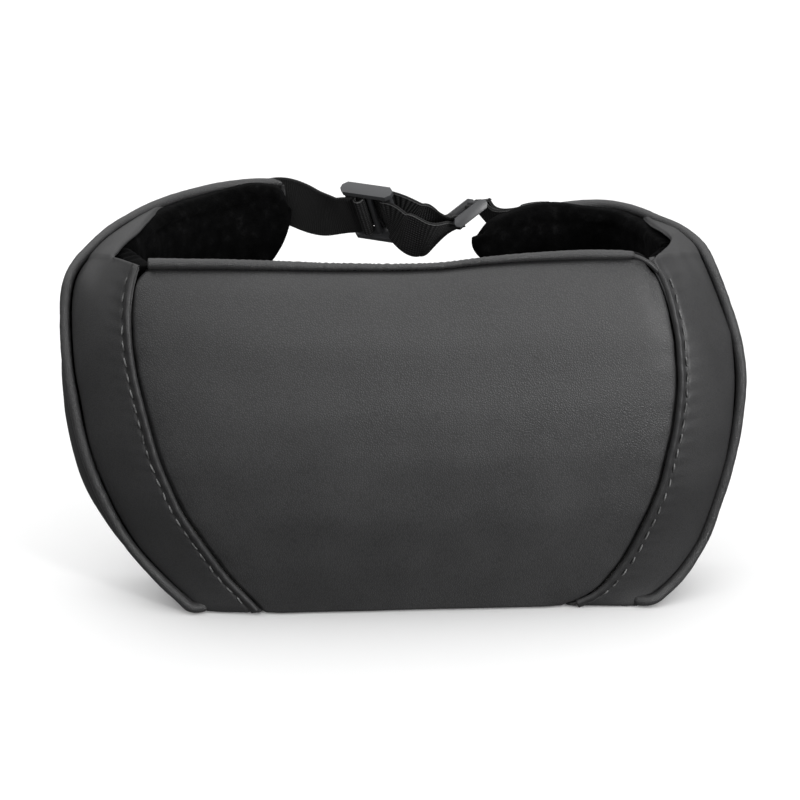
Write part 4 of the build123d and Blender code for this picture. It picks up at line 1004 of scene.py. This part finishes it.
def build_lining(side):
    """The velour side of a wing, a soft closed pad that begins behind the seam at the top corner."""
    w = W[side]; s = SIDE[side]
    # stations behind the side band, then along the wing
    pre_xy = {"L": [(-99, 28.5), (-111.5, 29.5), (-123.0, 44.5), (-131.5, 60.0)], "R": [(92, 29.5), (104, 32.0), (116.5, 43.0), (126.5, 58.0)]}[side]
    pre_z = {"L": [161.3, 161.0, 159.8, 158.4], "R": [160.8, 159.8, 156.4, 154.8]}[side]
    pts = []
    for (x, y), z in zip(pre_xy, pre_z):
        pts.append((x, y, z, x, y + 1.0, z - 40, 0.5))
    ss = np.linspace(15, w.len, 12)
    top, bot, bul, n3, T = w.data(ss)
    if side == "R":
        top[:, 2] += 3.0 * np.exp(-((ss - 10) / 16.0) ** 2)
    for i in range(len(ss)):
        # from the full height of the pad at the fold to the wing's own lower edge
        pts.append((*top[i], *bot[i], bul[i]))
    pts = np.array(pts)
    pts[:len(pre_xy), 3:6] = [(x, y + 2, 60 + 4 * i) for i, ((x, y), z) in enumerate(zip(pre_xy, pre_z))]
    tl = chord(pts[:, :2])
    f = natural(tl, pts)
    tt = np.concatenate([np.linspace(0, tl[-1] - 8, 200), tl[-1] - np.array([7, 6, 5, 4, 3, 2, 1.2, 0.6, 0.2, 0])])
    D = f(tt)
    top, bot, bul = D[:, :3].copy(), D[:, 3:6].copy(), D[:, 6]
    rem = tl[-1] - tt
    # the corners of the tip are round
    if side == "L":
        top[:, 2] += 1.6 * np.exp(-((rem - 16) / 12.0) ** 2) - 7.5 * (1 - np.sqrt(np.clip(1 - np.clip(1 - rem / 7.0, 0, 1) ** 2, 0, 1)))
        bot[:, 0] += 2.6 * np.exp(-(rem / 6.0) ** 2)
        bot[:, 2] += -5.5 * np.exp(-((rem - 9) / 10.0) ** 2) + 12.0 * (1 - np.sqrt(np.clip(1 - np.clip(1 - rem / 8.0, 0, 1) ** 2, 0, 1)))
    else:
        top[:, 2] += 4.3 * np.exp(-((rem - 22) / 26.0) ** 2) - 5.5 * (1 - np.sqrt(np.clip(1 - np.clip(1 - rem / 10.0, 0, 1) ** 2, 0, 1)))
        bot[:, 2] += -3.5 * np.exp(-((rem - 12) / 10.0) ** 2) + 9.0 * (1 - np.sqrt(np.clip(1 - np.clip(1 - rem / 9.0, 0, 1) ** 2, 0, 1)))
        # the pad's end is stuffed out past the leather
        push = 11.0 * np.exp(-(rem / 10.0) ** 2)
        bot[:, 0] -= push; bot[:, 1] -= 0.3 * push
        top[:, 0] -= 0.45 * push; top[:, 1] -= 0.25 * push
    t2 = unit(np.gradient(top[:, :2], axis=0))
    n2 = np.stack([t2[:, 1], -t2[:, 0]], 1) if side == "L" else np.stack([-t2[:, 1], t2[:, 0]], 1)
    n3 = np.concatenate([n2, np.zeros((len(n2), 1))], 1)
    T = T_ROOT + (T_TIP - T_ROOT) * np.clip((tt - tl[4]) / (tl[-1] - tl[4]), 0, 1) + 0.8 + 5.5 * np.exp(-((tt - tl[4] - 4) / 24.0) ** 2)
    rem = tl[-1] - tt
    end = np.sqrt(np.clip(1 - (1 - np.clip(rem / 5.0, 0, 1)) ** 2, 0.02, 1))
    nth = 72
    th = np.linspace(0, 2 * pi, nth, endpoint=False)
    ex = 0.62
    cx = np.sign(np.cos(th)) * np.abs(np.cos(th)) ** ex        # +1 inner face, -1 outer face
    cz = np.sign(np.sin(th)) * np.abs(np.sin(th)) ** 0.36       # +1 top, -1 bottom
    loops = []
    for i in range(len(tt)):
        half = (T[i] - 1.3) / 2
        tz = top[i] + [0, 0, -0.3]; bz = bot[i] + [0, 0, 1.2]
        mid = (tz + bz) / 2; hv = (tz - bz) / 2
        fz = (1 - cz * 0.5 - 0.5)                                # 0 top, 1 bottom
        depth = 1.3 + half + cx * half * end[i]
        hh = cz * (1 - 0.10 * (1 - end[i]))
        p = mid + hh[:, None] * hv - n3[i] * (bul[i] * 4 * fz * (1 - fz))[:, None] + n3[i] * depth[:, None]
        loops.append(p)
    Lp = np.array(loops)
    # surface detail on the inner face and the top
    inner = np.clip(cx, 0, 1)[None, :]
    hgt = np.linalg.norm(top - bot, axis=1)[:, None]
    dtop = (1 - cz)[None, :] * 0.5 * hgt
    along = tt[:, None] + 0 * dtop
    a0 = tl[4]
    # a crease a little below the top edge, from the root to near the tip
    cre = np.exp(-((dtop - (8.5 + 1.6 * np.sin(along / 23.0))) / 1.5) ** 2) * smoothstep(a0 + 12, a0 + 34, along) * (1 - smoothstep(tl[-1] - 26, tl[-1] - 10, along))
    d = -(1.9 if side == "L" else 0.9) * cre * inner
    d += 0.9 * np.exp(-((dtop - 4.0) / 3.0) ** 2) * inner * smoothstep(a0 + 8, a0 + 30, along)
    # soft hollows and hills
    d += 0.9 * wob(Lp, 46, 61) * inner + 0.45 * wob(Lp, 19, 62) * inner + 0.16 * wob(Lp, 7, 63)
    # gathers in the corner behind the seam
    cor = np.exp(-((along - (a0 - 14)) / 20.0) ** 2)
    g = np.sin(2 * pi * (dtop / 5.6) + 1.6 * wob(Lp, 30, 64) + along / 14.0)
    d += 1.0 * g * cor * inner * np.exp(-(dtop / 26.0) ** 2)
    d += 0.5 * np.sin(2 * pi * along / 6.5 + 1.5 * wob(Lp, 22, 65)) * cor * inner * np.exp(-(dtop / 18.0) ** 2)
    Lp = Lp + n3[:, None, :] * d[..., None]
    # the top falls towards the leather on the root side, and is gathered there
    rootm = 1 - smoothstep(a0 + 2, a0 + 34, along)
    out01 = (1 - cx)[None, :] * 0.5
    topm = np.exp(-(dtop / 7.0) ** 2)
    Lp[..., 2] -= (6.2 if side == "R" else 2.6) * out01 * rootm * topm
    Lp[..., 2] += 1.15 * topm * np.exp(-((along - (a0 - 12)) / 17.0) ** 2) * np.sin(2 * pi * along / 6.2 + 2.2 * wob(Lp, 18, 68) + 2.0 * cx[None, :]) * (1 - 0.85 * out01)
    Lp[..., 2] += -0.5 * cre * (1 - inner) + 0.25 * wob(Lp, 24, 66) * (np.abs(cz)[None, :] > 0.9)
    uv = np.stack([along, np.tile(th * 10, (len(tt), 1))], -1)
    ob = loops_to_mesh("wing_velour_" + side, Lp, uv=uv)
    recalc(ob)
    w_ = "left" if side == "L" else "right"
    return put(ob, M_VEL, blend=hinge_blend(side, 54, 76), replaces=[w_ + "_wing_lining", w_ + "_wing_foam"])


# ------------------------------------------------------------------ back, base, core
def back_y(X, Z):
    ax = np.abs(X)
    k = np.where(Z > 35, 1.0, 0.62 + 0.38 * Z / 35)
    y0, y1, y2 = BY(Z), BY95(Z), BY118(Z)
    out = np.where(ax < 55 * k, y0, 0)
    f1 = smoothstep(55 * k, 95 * k, ax); f2 = smoothstep(95 * k, 118 * k, ax)
    out = y0 * (1 - f1) + y1 * f1
    out = out * (1 - f2) + y2 * f2
    return out


def build_back():
    zrows = np.concatenate([[0.7, 1.6, 3, 5, 8], np.arange(11, 150, 2.2), [151, 153, 155, 156.6]])
    cs = np.linspace(0, 1, 130)
    Z, C = np.meshgrid(zrows, cs, indexing="ij")
    inw = np.interp(Z, [0, 20, 110, 135, 156], [7, 3.0, 3.0, 9, 16])
    xl = PX["L"](Z) + inw; xr = PX["R"](Z) - inw
    X = xl + (xr - xl) * C
    far = smoothstep(98, 113, np.abs(X))
    P = np.stack([X, back_y(X, Z), lift(X, Z) - (1.2 + 4.0 * far) * smoothstep(135, 157, Z)], -1)
    d = 0.55 * wob(P, 60, 81) + 0.3 * wob(P, 24, 82) + 0.08 * wob(P, 8, 83)
    flat = np.exp(-((Z - 30) / 14.0) ** 4) * (np.abs(X) < 97)
    P[..., 1] += d * (1 - flat)
    P[..., 1] = np.minimum(P[..., 1], 60.25)
    low = P[0]
    P = np.concatenate([[low + [0, -6, -0.6], low + [0, -3, -0.62], low + [0, -1.2, -0.5]], P])
    P[..., 2] = np.maximum(P[..., 2], 0.05)
    top = P[-1]
    # over the pad's top to the piping, and to the panel's edge past its ends
    xt = np.clip(top[:, 0], -117.0, 108.0)
    on = smoothstep(-111.5, -108.5, xt) * (1 - smoothstep(97.0, 100.0, xt))
    zp = np.interp(xt, [-109.6, -85.4, -61.9, -44.8, -27.6, -1.8, 15.4, 32.7, 54.3, 80.3, 98.4], [164.0, 163.5, 162.7, 161.9, 161.2, 160.7, 161.0, 162.7, 164.2, 164.9, 164.4]) - 0.6
    goal = np.stack([xt, front_y(xt, np.full_like(xt, 156.6)) * (1 - on) + 26.0 * on + 1.2 * (1 - on), (z_top(xt) - 0.3) * (1 - on) + zp * on], -1)
    over = []
    for t in (0.2, 0.4, 0.6, 0.8, 1.0):
        r = top * (1 - t) + goal * t
        r[:, 2] += 0.9 * np.sin(pi * t) * (1 - 0.5 * t) - 1.6 * far[-1] * np.sin(pi * t)
        over.append(r)
    P = np.concatenate([P, over])
    ob = sheet("back_velour", P, 1.3, out=(0, 1, 0))
    recalc(ob)
    return put(ob, M_VEL, "cushion", ["back_lining"])


def build_base():
    """The underside sheet, which closes the four covers."""
    cs = np.linspace(0, 1, 90); ds = np.linspace(0, 1, 24)
    xl, xr = -90.0, 102.0
    C, D = np.meshgrid(cs, ds, indexing="ij")
    X = xl + (xr - xl) * C
    yf = front_y(X, np.full_like(X, 0.6)) + 3.2
    yb = back_y(X, np.full_like(X, 0.6)) - 3.0
    Y = yf + (yb - yf) * D
    Zz = 0.06 + 0.0 * X
    edge = np.minimum(np.minimum(C, 1 - C) * 190, np.minimum(D, 1 - D) * 32)
    Zz = Zz + 0.35 * np.exp(-(edge / 2.0) ** 2) + 0.05 * (wob(np.stack([X, Y, Zz], -1), 25, 85) + 1)
    ob = sheet("base_sheet", np.stack([X, Y, Zz], -1), 1.0, out=(0, 0, -1))
    recalc(ob)
    return put(ob, M_SIDE, "cushion", ["base_panel"])


def build_core():
    """The pad's foam, inside the covers."""
    zr = np.concatenate([[3.0, 3.6, 5.0], np.linspace(8, 140, 46), [143, 145.5, 147.2, 148.0]])
    n = 60
    loops = []
    for z in zr:
        ins = 5.6
        xl, xr = PX["L"](z) + ins + 1.5, PX["R"](z) - ins - 1.5
        x = np.linspace(xl, xr, n)
        fy = front_y(x, np.full(n, z)) + ins
        by = back_y(x, np.full(n, z)) - ins
        mid, thin = (fy + by) / 2, by - fy < 1.6
        fy, by = np.where(thin, mid - 0.8, fy), np.where(thin, mid + 0.8, by)
        k = min(1.0, (z - 2.4) / 2.5, (148.8 - z) / 3.0)
        m = (fy + by) / 2
        fy2, by2 = m + (fy - m) * (0.7 + 0.3 * k), m + (by - m) * (0.7 + 0.3 * k)
        xs = x * (0.985 + 0.015 * k)
        loops.append(np.concatenate([np.stack([xs, fy2, np.full(n, z)], -1), np.stack([xs, by2, np.full(n, z)], -1)[::-1]]))
    ob = loops_to_mesh("foam_pad", np.array(loops))
    recalc(ob)
    return put(ob, M_FOAM, "cushion", ["foam_core"])


# ------------------------------------------------------------------ straps
def band_path(path, wdirs, n):
    """Evenly spaced points, width directions and tangents along a smooth webbing path."""
    path = np.array(path, float); wdirs = unit(np.array(wdirs, float))
    t = chord(path)
    fp = natural(t, path); fw = natural(t, wdirs)
    fine = np.linspace(0, t[-1], 12 * n)
    Lf = chord(fp(fine))
    tt = np.interp(np.linspace(0, Lf[-1], n), Lf, fine)
    C = fp(tt); Wd = fw(tt)
    T = unit(np.gradient(C, axis=0))
    Wd = unit(Wd - T * (Wd * T).sum(1, keepdims=True))
    return C, Wd, T, chord(C)


def ribbon(name, data, width, thick, waffle=0.0, pitch=1.25, edge=0.0, m=84, lo=None, hi=None):
    """A closed webbing band; data comes from band_path, and lo..hi picks some of its points."""
    C, Wd, T, L = (a[lo:hi] for a in data)
    n = len(C)
    O = np.cross(T, Wd)
    v = np.linspace(-0.5, 0.5, m)
    half = thick / 2
    prof = np.array([(q * width, half) for q in v] + [(q * width, -half) for q in v[::-1]])
    ed = np.clip((np.abs(prof[:, 0]) - (width / 2 - 0.6)) / 0.6, 0, 1)
    prof[:, 1] *= np.sqrt(np.clip(1 - ed ** 2 * 0.85, 0.05, 1))
    U = np.tile(L[:, None], (1, len(prof))); Vv = np.tile(prof[:, 0], (n, 1))
    h = np.tile(prof[:, 1], (n, 1))
    if waffle:
        wx = np.abs(np.sin(pi * U / pitch)); wy = np.abs(np.sin(pi * Vv / pitch))
        k = (1 - np.clip((np.abs(Vv) - (width / 2 - 1.6)) / 0.8, 0, 1))
        h = h + np.sign(h) * (waffle * (wx * wy - 0.4) * k)
    if edge:
        h = h + np.sign(h) * edge * np.exp(-((np.abs(Vv) - (width / 2 - 0.8)) / 0.5) ** 2)
    V = C[:, None, :] + Vv[..., None] * Wd[:, None, :] + h[..., None] * O[:, None, :]
    ob = loops_to_mesh(name, V, uv=np.stack([U, Vv], -1))
    recalc(ob)
    return ob


ADJ_C = np.array([-8.6, 134.0, 151.3]); YAW = radians(-29); TILT = radians(30)
AX = np.array([cos(YAW), sin(YAW), 0.0]); AY0 = np.array([-sin(YAW), cos(YAW), 0.0]); AZ0 = np.array([0, 0, 1.0])
AY = AY0 * cos(TILT) + AZ0 * sin(TILT)        # away from the head, and up
AZ = AZ0 * cos(TILT) - AY0 * sin(TILT)        # up, and towards the head


def adj(x, y, z=0.0):
    return ADJ_C + AX * x + AY * y + AZ * z


RW = unit(np.array([-0.12, 0.95, -0.28])); RL = np.array([0.80, 0.20, 0.55]); RL = unit(RL - RW * (RL @ RW)); RN = np.cross(RW, RL)
RING_C = np.array([36.2, 118.0, 155.3]) + RW * 14.3
UP = np.array([0, 0, 1.0])


def mixd(f):
    return unit(UP + (-RW - UP) * f)


def build_strap():
    # 1. from the tip of the left wing to the adjuster
    p = [(-62.0, 153.4, 149.6), (-55.0, 152.6, 152.0), (-48.6, 150.2, 152.4), (-42.5, 147.2, 150.9), (-36.8, 144.2, 149.2), (-30.6, 141.0, 148.6),
         adj(-14.6, -3.9, -0.5), adj(-12.0, -3.5, -0.2), adj(-9.2, -2.9, 0), adj(-6.6, -1.2, 0)]
    wd = [UP] * 4 + [unit(UP + (AZ - UP) * q) for q in (0.15, 0.5)] + [AZ] * 4
    D = band_path(p, wd, 240)
    cut = int(np.argmin(np.abs(D[0][:, 0] + 45.5)))
    ob = ribbon("strap_webbing_root", D, 23.6, 1.45, edge=0.14, m=60, lo=0, hi=cut + 1)
    put(ob, M_WEB, blend=("left_wing", "strap", (-0.054, 0.1155, 0.15), (-0.047, 0.1135, 0.15)), replaces=["strap_webbing"])
    ob = ribbon("strap_webbing_main", D, 23.6, 1.45, edge=0.14, m=60, lo=cut, hi=None)
    put(ob, M_WEB, blend=("strap", "adjuster", (-0.042, 0.111, 0.15), (-0.027, 0.101, 0.15)), replaces=["strap_webbing"])
    # 2. the turn round the left bar, and the fold that comes back through the slot
    D = band_path([adj(-11.4, 3.0, 0), adj(-9.0, 3.2, 0), adj(-6.4, 2.4, 0), adj(-3.6, 0.2, 0), adj(-2.4, -2.6, 0), adj(-3.9, -4.5, 0), adj(-6.1, -3.6, 0.0), adj(-6.7, -1.8, 0)], [AZ] * 8, 150)
    ob = ribbon("strap_slot_fold", D, 23.0, 1.2, waffle=0.20, m=84)
    put(ob, M_WEB2, "adjuster")
    # 3. the adjustable loop, each layer in two halves that meet in the middle
    fold_r = 3.0
    ra = RING_C - RL * 7.2
    rb = RING_C + RL * 7.2
    fe = ra - RN * fold_r - RL * 0.3
    be = ra + RN * fold_r - RL * 0.3

    def am(f):
        return unit(AZ + (UP - AZ) * f)
    front = [adj(-10.4, 5.4, -3.4), adj(-7.6, 5.6, -3.4), adj(-5.0, 5.2, -3.2), adj(-2.6, 4.3, -2.0), adj(-0.6, 3.2, 0), adj(2.8, 2.5, 0), adj(5.6, 0.1, 0), adj(8.0, -2.4, 0), adj(11.0, -3.4, 0.0), (3.4, 123.6, 146.8),
             (9.0, 120.0, 144.2), (15.2, 118.2, 142.6), (23.0, 124.6, 142.6), be]
    fw = [AZ] * 8 + [am(0.25), am(0.45), mixd(0.24), mixd(0.42), mixd(0.66), -RW]
    back = [adj(1.0, 4.6, 0), adj(6.0, 4.7, 0), adj(12.4, 4.2, 0.0), (10.6, 130.2, 150.0), (15.6, 129.4, 148.3), (21.3, 129.4, 148.0), fe]
    bw = [AZ] * 3 + [AZ, mixd(0.42), mixd(0.62), -RW]
    lb = ("adjuster", "strap", (0.003, 0.092, 0.147), (0.0125, 0.089, 0.144))
    rbld = ("strap", "ring", (0.0175, 0.088, 0.144), (0.0265, 0.086, 0.146))
    for nm, path, wds in (("front", front, fw), ("back", back, bw)):
        D = band_path(path, wds, 330)
        far = np.where(D[0][:, 0] < 15.0)[0][-1]
        for half, a, b, bl in (("a", 0, far + 1, lb), ("b", far, None, rbld)):
            ob = ribbon("strap_loop_%s_%s" % (nm, half), D, 23.2, 1.4, waffle=0.24, m=96, lo=a, hi=b)
            put(ob, M_WEB2, blend=bl, replaces=["strap_loop"])
    th = np.linspace(-0.5 * pi - 0.15, 0.5 * pi + 0.15, 14)
    fold = [ra + RL * (fold_r * cos(a) - 0.3) + RN * (fold_r * sin(a)) for a in th]
    ob = ribbon("strap_loop_fold", band_path(fold, [-RW] * len(fold), 90), 23.2, 1.4, waffle=0.2, m=84)
    put(ob, M_WEB2, "ring", ["strap_loop"])
    # 4. the short piece sewn into the right wing
    core = [rb + RL * 2.0 + np.array([1.7, 0.0, -1.5]), (47.6, 130.2, 149.8), (53.2, 126.4, 146.6), (58.0, 124.6, 145.6), (66.0, 127.2, 145.6), (74.0, 129.4, 145.2)]
    core_w = [-RW, mixd(0.82), mixd(0.50), mixd(0.2), UP, UP]
    c, wd, T, q = band_path(core, core_w, 34)
    O = np.cross(T, wd)
    gap = 1.6 + 1.8 * np.exp(-(q / 4.0) ** 2)
    up = c + O * gap[:, None] * 0.52; dn = c - O * gap[:, None] * 0.52
    wrap = [rb + (O[0] * cos(a) - RL * sin(a)) * 2.7 for a in np.linspace(0, pi, 15)]
    path = np.array(list(up[::-1][:-1]) + wrap + list(dn[1:]))
    wds = np.array(list(wd[::-1][:-1]) + [-RW] * len(wrap) + list(wd[1:]))
    keep = [0]
    for i in range(1, len(path)):
        if np.linalg.norm(path[i] - path[keep[-1]]) > 0.8:
            keep.append(i)
    ob = ribbon("strap_anchor_loop", band_path(path[keep], wds[keep], 300), 23.0, 1.35, waffle=0.22, m=84)
    put(ob, M_WEB2, "right_wing", ["strap_anchor"])


def frame_plate(outline, zc, th, ax, ay, az, cen):
    """A plate with the given outline in the ax/ay plane, th thick along az."""
    V = []
    n = len(outline)
    for s in (-0.5, 0.5):
        for x, y in outline:
            V.append(cen + ax * x + ay * y + az * (zc + s * th))
    F = [tuple(range(n))[::-1], tuple(range(n, 2 * n))]
    for i in range(n):
        k = (i + 1) % n
        F.append((i, k, n + k, n + i))
    return V, F


def round_bar(cx, cy, rx, ry, z0, z1, ax, ay, az, cen, seg=28):
    V = []; F = []
    th = np.linspace(0, 2 * pi, seg, endpoint=False)
    for z in (z0, z1):
        for a in th:
            V.append(cen + ax * (cx + rx * np.sign(cos(a)) * abs(cos(a)) ** 0.7) + ay * (cy + ry * np.sign(sin(a)) * abs(sin(a)) ** 0.7) + az * z)
    for j in range(seg):
        k = (j + 1) % seg
        F.append((j, k, seg + k, seg + j))
    F.append(tuple(range(seg))[::-1]); F.append(tuple(range(seg, 2 * seg)))
    return V, F


def union(name, parts, width=0.0005, seg=3):
    obs = []
    for i, (V, F) in enumerate(parts):
        ob = add_mesh(name + str(i), np.array(V), F, smooth=False)
        recalc(ob); obs.append(ob)
    base = obs[0]
    for o in obs[1:]:
        b = base.modifiers.new("u", "BOOLEAN"); b.operation = "UNION"; b.object = o; b.solver = "EXACT"
        apply_mods(base)
        bpy.data.objects.remove(o)
    base.name = name; base.data.name = name
    bevel_all(base, width, seg, 28)
    return base


def build_adjuster():
    L, D, hh = 26.5, 7.0, 15.8
    c = 2.2
    o = [(-L / 2 + c, -D / 2), (L / 2 - c, -D / 2), (L / 2, -D / 2 + c), (L / 2, D / 2 - c), (L / 2 - c, D / 2), (-L / 2 + c, D / 2), (-L / 2, D / 2 - c), (-L / 2, -D / 2 + c)]
    parts = [frame_plate(o, -(hh - 1.2), 2.4, AX, AY, AZ, ADJ_C), frame_plate(o, hh - 1.2, 2.4, AX, AY, AZ, ADJ_C)]
    for x in (-11.2, 0.0, 11.2):
        parts.append(round_bar(x, 0, 1.35, 1.25, -(hh - 1.2), hh - 1.2, AX, AY, AZ, ADJ_C))
    ob = union("tri_glide_adjuster", parts, 0.00042, 3)
    return put(ob, M_PLA, "adjuster", ["adjuster"])


def build_ring():
    L, D, hh = 18.6, 5.2, 15.5
    c = 1.7
    o = [(-L / 2 + c, -D / 2), (L / 2 - c, -D / 2), (L / 2, -D / 2 + c), (L / 2, D / 2 - c), (L / 2 - c, D / 2), (-L / 2 + c, D / 2), (-L / 2, D / 2 - c), (-L / 2, -D / 2 + c)]
    parts = [frame_plate(o, -14.3, 2.4, RL, RN, RW, RING_C), frame_plate(o, 14.3, 2.4, RL, RN, RW, RING_C)]
    for x in (-7.2, 7.2):
        parts.append(round_bar(x, 0, 1.35, 1.35, -14.3, 14.3, RL, RN, RW, RING_C))
    ob = union("end_ring_frame", parts, 0.0004, 3)
    return put(ob, M_PLA, "ring", ["end_ring"])


# ------------------------------------------------------------------ build
build_front()
for k_ in "LR":
    build_band(k_)
    build_welt(k_)
    build_piping(k_)
    build_outer(k_)
    build_lining(k_)
build_top_piping()
build_stitches()
build_back()
build_base()
build_core()
build_strap()
build_adjuster()
build_ring()

# the zip keeps its CAD geometry and gets its own surfaces
CADMAT = {"plastic": M_ZIP, "thread": M_THR, "webbing": M_ZTAPE, "zip_metal": M_ZIP}
for ob in list(bpy.data.objects):
    if ob.type != "MESH":
        continue
    nm = ob.name
    if nm.startswith("zip_tape"):
        ob.data.materials.clear(); ob.data.materials.append(M_ZTAPE)
    elif nm.startswith("zip_"):
        ob.data.materials.clear(); ob.data.materials.append(M_ZIP)

# ------------------------------------------------------------------ stage
floor_m, floor_nt, floor_bs = new_mat("floor_paper")
floor_bs.inputs["Base Color"].default_value = (0.92, 0.92, 0.92, 1)
floor_bs.inputs["Roughness"].default_value = 0.9
floor_bs.inputs["Specular IOR Level"].default_value = 0.1
bpy.ops.mesh.primitive_plane_add(size=12, location=(0, 0, -0.0004))
floor = bpy.context.object; floor.name = "floor"
floor.data.materials.append(floor_m)
floor.visible_diffuse = False
floor.visible_glossy = False

world = bpy.data.worlds.new("studio"); bpy.context.scene.world = world
world.use_nodes = True
wnt = world.node_tree
bg = wnt.nodes["Background"]
wtc = wnt.nodes.new("ShaderNodeTexCoord"); sep = wnt.nodes.new("ShaderNodeSeparateXYZ")
wnt.links.new(wtc.outputs["Generated"], sep.inputs[0])
wr = wnt.nodes.new("ShaderNodeValToRGB")
els = wr.color_ramp.elements
while len(els) < 5:
    els.new(0.5)
for el_, (p_, v_) in zip(els, [(0.0, 0.06), (0.1, 0.10), (0.4, 0.35), (0.7, 0.85), (1.0, 1.0)]):
    el_.position = p_; el_.color = (v_, v_, v_, 1)
wnt.links.new(sep.outputs["Z"], wr.inputs[0]); wnt.links.new(wr.outputs[0], bg.inputs[0])
bg.inputs[1].default_value = 1.75


def area(name, loc, target, size, power, sy=None, spread=180):
    l = bpy.data.lights.new(name, "AREA"); l.shape = "RECTANGLE"; l.size = size; l.size_y = sy or size; l.energy = power
    l.spread = radians(spread)
    o = bpy.data.objects.new(name, l); bpy.context.scene.collection.objects.link(o)
    o.location = loc
    o.rotation_euler = (Vector(target) - Vector(loc)).to_track_quat("-Z", "Y").to_euler()
    return o


def spot(name, az, el, dist, target, cone, power, radius):
    l = bpy.data.lights.new(name, "SPOT"); l.energy = power; l.spot_size = radians(cone); l.spot_blend = 1.0; l.shadow_soft_size = radius
    o = bpy.data.objects.new(name, l); bpy.context.scene.collection.objects.link(o)
    t = Vector(target)
    a, e = radians(az), radians(el)
    o.location = t + Vector((sin(a) * cos(e), -cos(a) * cos(e), sin(e))) * dist
    o.rotation_euler = (t - o.location).to_track_quat("-Z", "Y").to_euler()
    return o


spot("key_front_right", 42, 12, 1.5, (0.085, -0.02, 0.098), 15.5, 128, 0.20)
spot("fill_front_left", -5, 16, 1.5, (-0.05, 0.0, 0.108), 12.5, 44, 0.22)



cam_d = bpy.data.cameras.new("photo_camera"); cam = bpy.data.objects.new("photo_camera", cam_d)
bpy.context.scene.collection.objects.link(cam)
az, el, dist = radians(-3.0), radians(22.0), 1.05
tgt = Vector((0, (60 - BASE_Y) / 1000, 0.085))
dirv = Vector((-sin(az) * cos(el), cos(az) * cos(el), -sin(el)))
cam.location = tgt - dirv * dist
cam.rotation_euler = dirv.to_track_quat("-Z", "Y").to_euler()
cam_d.sensor_width = 36.0
cam_d.lens = 2299.5 / 800 * 36.0
cam_d.clip_start = 0.01
bpy.context.scene.camera = cam
bpy.context.scene.view_settings.view_transform = "Standard"
bpy.context.scene.view_settings.look = "None"
bpy.context.scene.view_settings.exposure = 0.0
